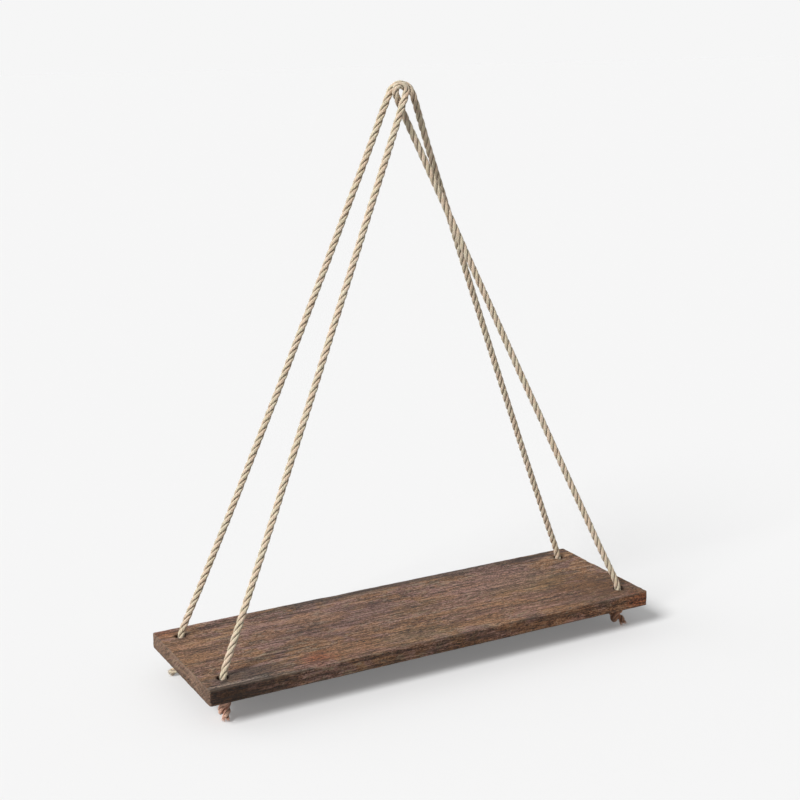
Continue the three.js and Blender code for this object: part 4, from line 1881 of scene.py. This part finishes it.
    def _mark_ends(self, board: Piece) -> None:
        """Gives the two sawn ends the end grain.

        Args:
            board: The board.
        """
        limit = self.sizes.board_length / 2 - 2 * self.edge_round
        with editing(board):
            select(board, "FACE", lambda face: min(abs(c.x) for c in face) > limit)
            board.active_material_index = 1
            bpy.ops.object.material_slot_assign()


def direction(azimuth: float, elevation: float) -> Vector:
    """Finds the way from the shelf to a place in the studio.

    Args:
        azimuth: Where the place is, in degrees from the front round by the right.
        elevation: How high it is, in degrees.

    Returns:
        The way, one long.
    """
    around, level = math.radians(azimuth), math.cos(math.radians(elevation))
    return Vector((math.sin(around) * level, -math.cos(around) * level,
                   math.sin(math.radians(elevation))))


@dataclass
class PhotoCamera:
    """Camera at the photograph's angle; its distances are from the middle of the board's top."""

    image_side: int = 800
    focal_pixels: float = 1469.0
    azimuth: float = -27.95
    elevation: float = 13.70
    roll: float = -0.92
    distance: float = 1.315
    to_right: float = -0.0034
    upward: float = 0.189
    sensor_width: float = 36.0

    def build(self, sizes: ShelfSizes) -> None:
        """Makes the camera and gives it to the scene.

        Args:
            sizes: Sizes of the shelf.
        """
        back = direction(self.azimuth, self.elevation)
        right = (-back).cross(Vector((0, 0, 1))).normalized()
        up = right.cross(-back)
        target = Vector((0, 0, sizes.top_z))
        place = target + back * self.distance + right * self.to_right + up * self.upward
        turn = Matrix.Rotation(math.radians(self.roll), 3, back)
        axes = Matrix((turn @ right, turn @ up, back)).transposed()
        data = bpy.data.cameras.new("photo_camera")
        data.sensor_width = self.sensor_width
        data.lens = self.focal_pixels * self.sensor_width / self.image_side
        camera = bpy.data.objects.new("photo_camera", data)
        link(camera)
        camera.matrix_world = Matrix.Translation(place) @ axes.to_4x4()
        bpy.context.scene.camera = camera
        LOG.info("camera: lens %.1f mm", data.lens)


@dataclass(frozen=True)
class SoftLight:
    """A broad light that reaches the whole scene alike.

    Args:
        name: Its name.
        strength: Light that it gives to a surface that faces it.
        azimuth: Where it stands, in degrees from the front round by the right.
        elevation: How high it stands, in degrees.
        softness: How wide it is, in degrees.
    """

    name: str
    strength: float
    azimuth: float
    elevation: float
    softness: float

    def build(self) -> None:
        """Makes the light."""
        data = bpy.data.lights.new(self.name, "SUN")
        data.energy, data.angle = self.strength, math.radians(self.softness)
        lamp = bpy.data.objects.new(self.name, data)
        link(lamp)
        towards = direction(self.azimuth, self.elevation)
        lamp.matrix_world = towards.to_track_quat("Z", "Y").to_matrix().to_4x4()
        LOG.info("%s: strength %.2f", self.name, self.strength)


@dataclass
class Studio:
    """Pale floor level with the lowest tails, even daylight, and two soft lights."""

    floor_z: float = -0.4926
    floor_size: float = 60.0
    floor_shade: float = 0.691
    floor_bounce: float = 0.33
    floor_glow: float = 0.158
    backdrop_shade: float = 0.921
    sky: float = 0.36
    lights: tuple[SoftLight, ...] = (
        SoftLight("key_light", 3.16, -66.0, 41.0, 22.0),
        SoftLight("side_light", 0.85, -128.0, 18.0, 60.0),
    )

    def build(self) -> None:
        """Makes the floor, the lights and the backdrop."""
        self._floor()
        for light in self.lights:
            light.build()
        self._backdrop()
        bpy.context.scene.view_settings.view_transform = "Standard"
        LOG.info("studio: floor at %.4f m", self.floor_z)

    def _floor(self) -> None:
        """Wide floor that takes the shelf's shadow, and is clear when seen from below."""
        floor = add_primitive(bpy.ops.mesh.primitive_plane_add, size=self.floor_size,
                              location=(0, 0, self.floor_z))
        floor.name = "studio_floor"
        material, surface = new_material("studio_paper")
        kit = NodeKit(material.node_tree)
        direct = kit.add("LightPath").outputs["Is Camera Ray"]
        kit.fill(surface, {
            "Base Color": kit.mix(direct, (self.floor_bounce,) * 3, (self.floor_shade,) * 3),
            "Roughness": 1.0, "Specular IOR Level": 0.0, "Emission Color": (1.0, 1.0, 1.0),
            "Emission Strength": kit.math("MULTIPLY", direct, self.floor_glow),
        })
        below = kit.math("MULTIPLY", direct, kit.add("NewGeometry").outputs["Backfacing"])
        clear = kit.add("BsdfTransparent").outputs[0]
        both = kit.add("MixShader", {0: below, 1: surface.outputs[0], 2: clear})
        kit.fill(kit.tree.nodes["Material Output"], {"Surface": both.outputs[0]})
        floor.data.materials.append(material)

    def _backdrop(self) -> None:
        """Even light from all round, and the pale backdrop that the camera sees."""
        world = bpy.data.worlds.new("studio")
        world.use_nodes = True
        bpy.context.scene.world = world
        kit = NodeKit(world.node_tree)
        lit = kit.tree.nodes["Background"]
        kit.fill(lit, {"Color": (self.sky,) * 3})
        seen = kit.add("Background", {"Color": (self.backdrop_shade,) * 3})
        rays = kit.add("LightPath").outputs
        direct = kit.math("MAXIMUM", rays["Is Camera Ray"], rays["Is Glossy Ray"])
        direct = kit.math("MAXIMUM", direct, rays["Is Transmission Ray"])
        both = kit.add("MixShader", {0: direct, 1: lit.outputs[0], 2: seen.outputs[0]})
        kit.fill(kit.tree.nodes["World Output"], {"Surface": both.outputs[0]})


def main() -> None:
    """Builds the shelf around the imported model, then its studio."""
    logging.basicConfig(level=logging.INFO, format="%(message)s")
    sizes, turn, effects = ShelfSizes(), RopeTurn(), Effects()
    fibres = LooseFibres(RopeLay())
    PhotoCamera().build(sizes)
    jute = {tint: JuteYarn(tint).material(effects) for tint in Tint}
    knots = {
        corner.name: StopperKnot(corner, sizes, fibres).build(jute[corner.tint], stream)
        for stream, corner in enumerate(CORNERS, KNOT_STREAMS)
    }
    ropes = (
        Rope("front_rope", FRONT_LEFT, FRONT_RIGHT, turn.eye(sizes), sizes, fibres,
             "front_rope_eye"),
        Rope("back_rope", BACK_LEFT, BACK_RIGHT, turn.arch(sizes), sizes, fibres,
             "back_rope_bight"),
    )
    for rope, stream in zip(ropes, ROPE_STREAMS):
        rope.build(jute[Tint.NATURAL], knots, stream)
    Board(sizes).build(WalnutStain(), effects)
    Studio().build()


if __name__ == "__main__":
    main()
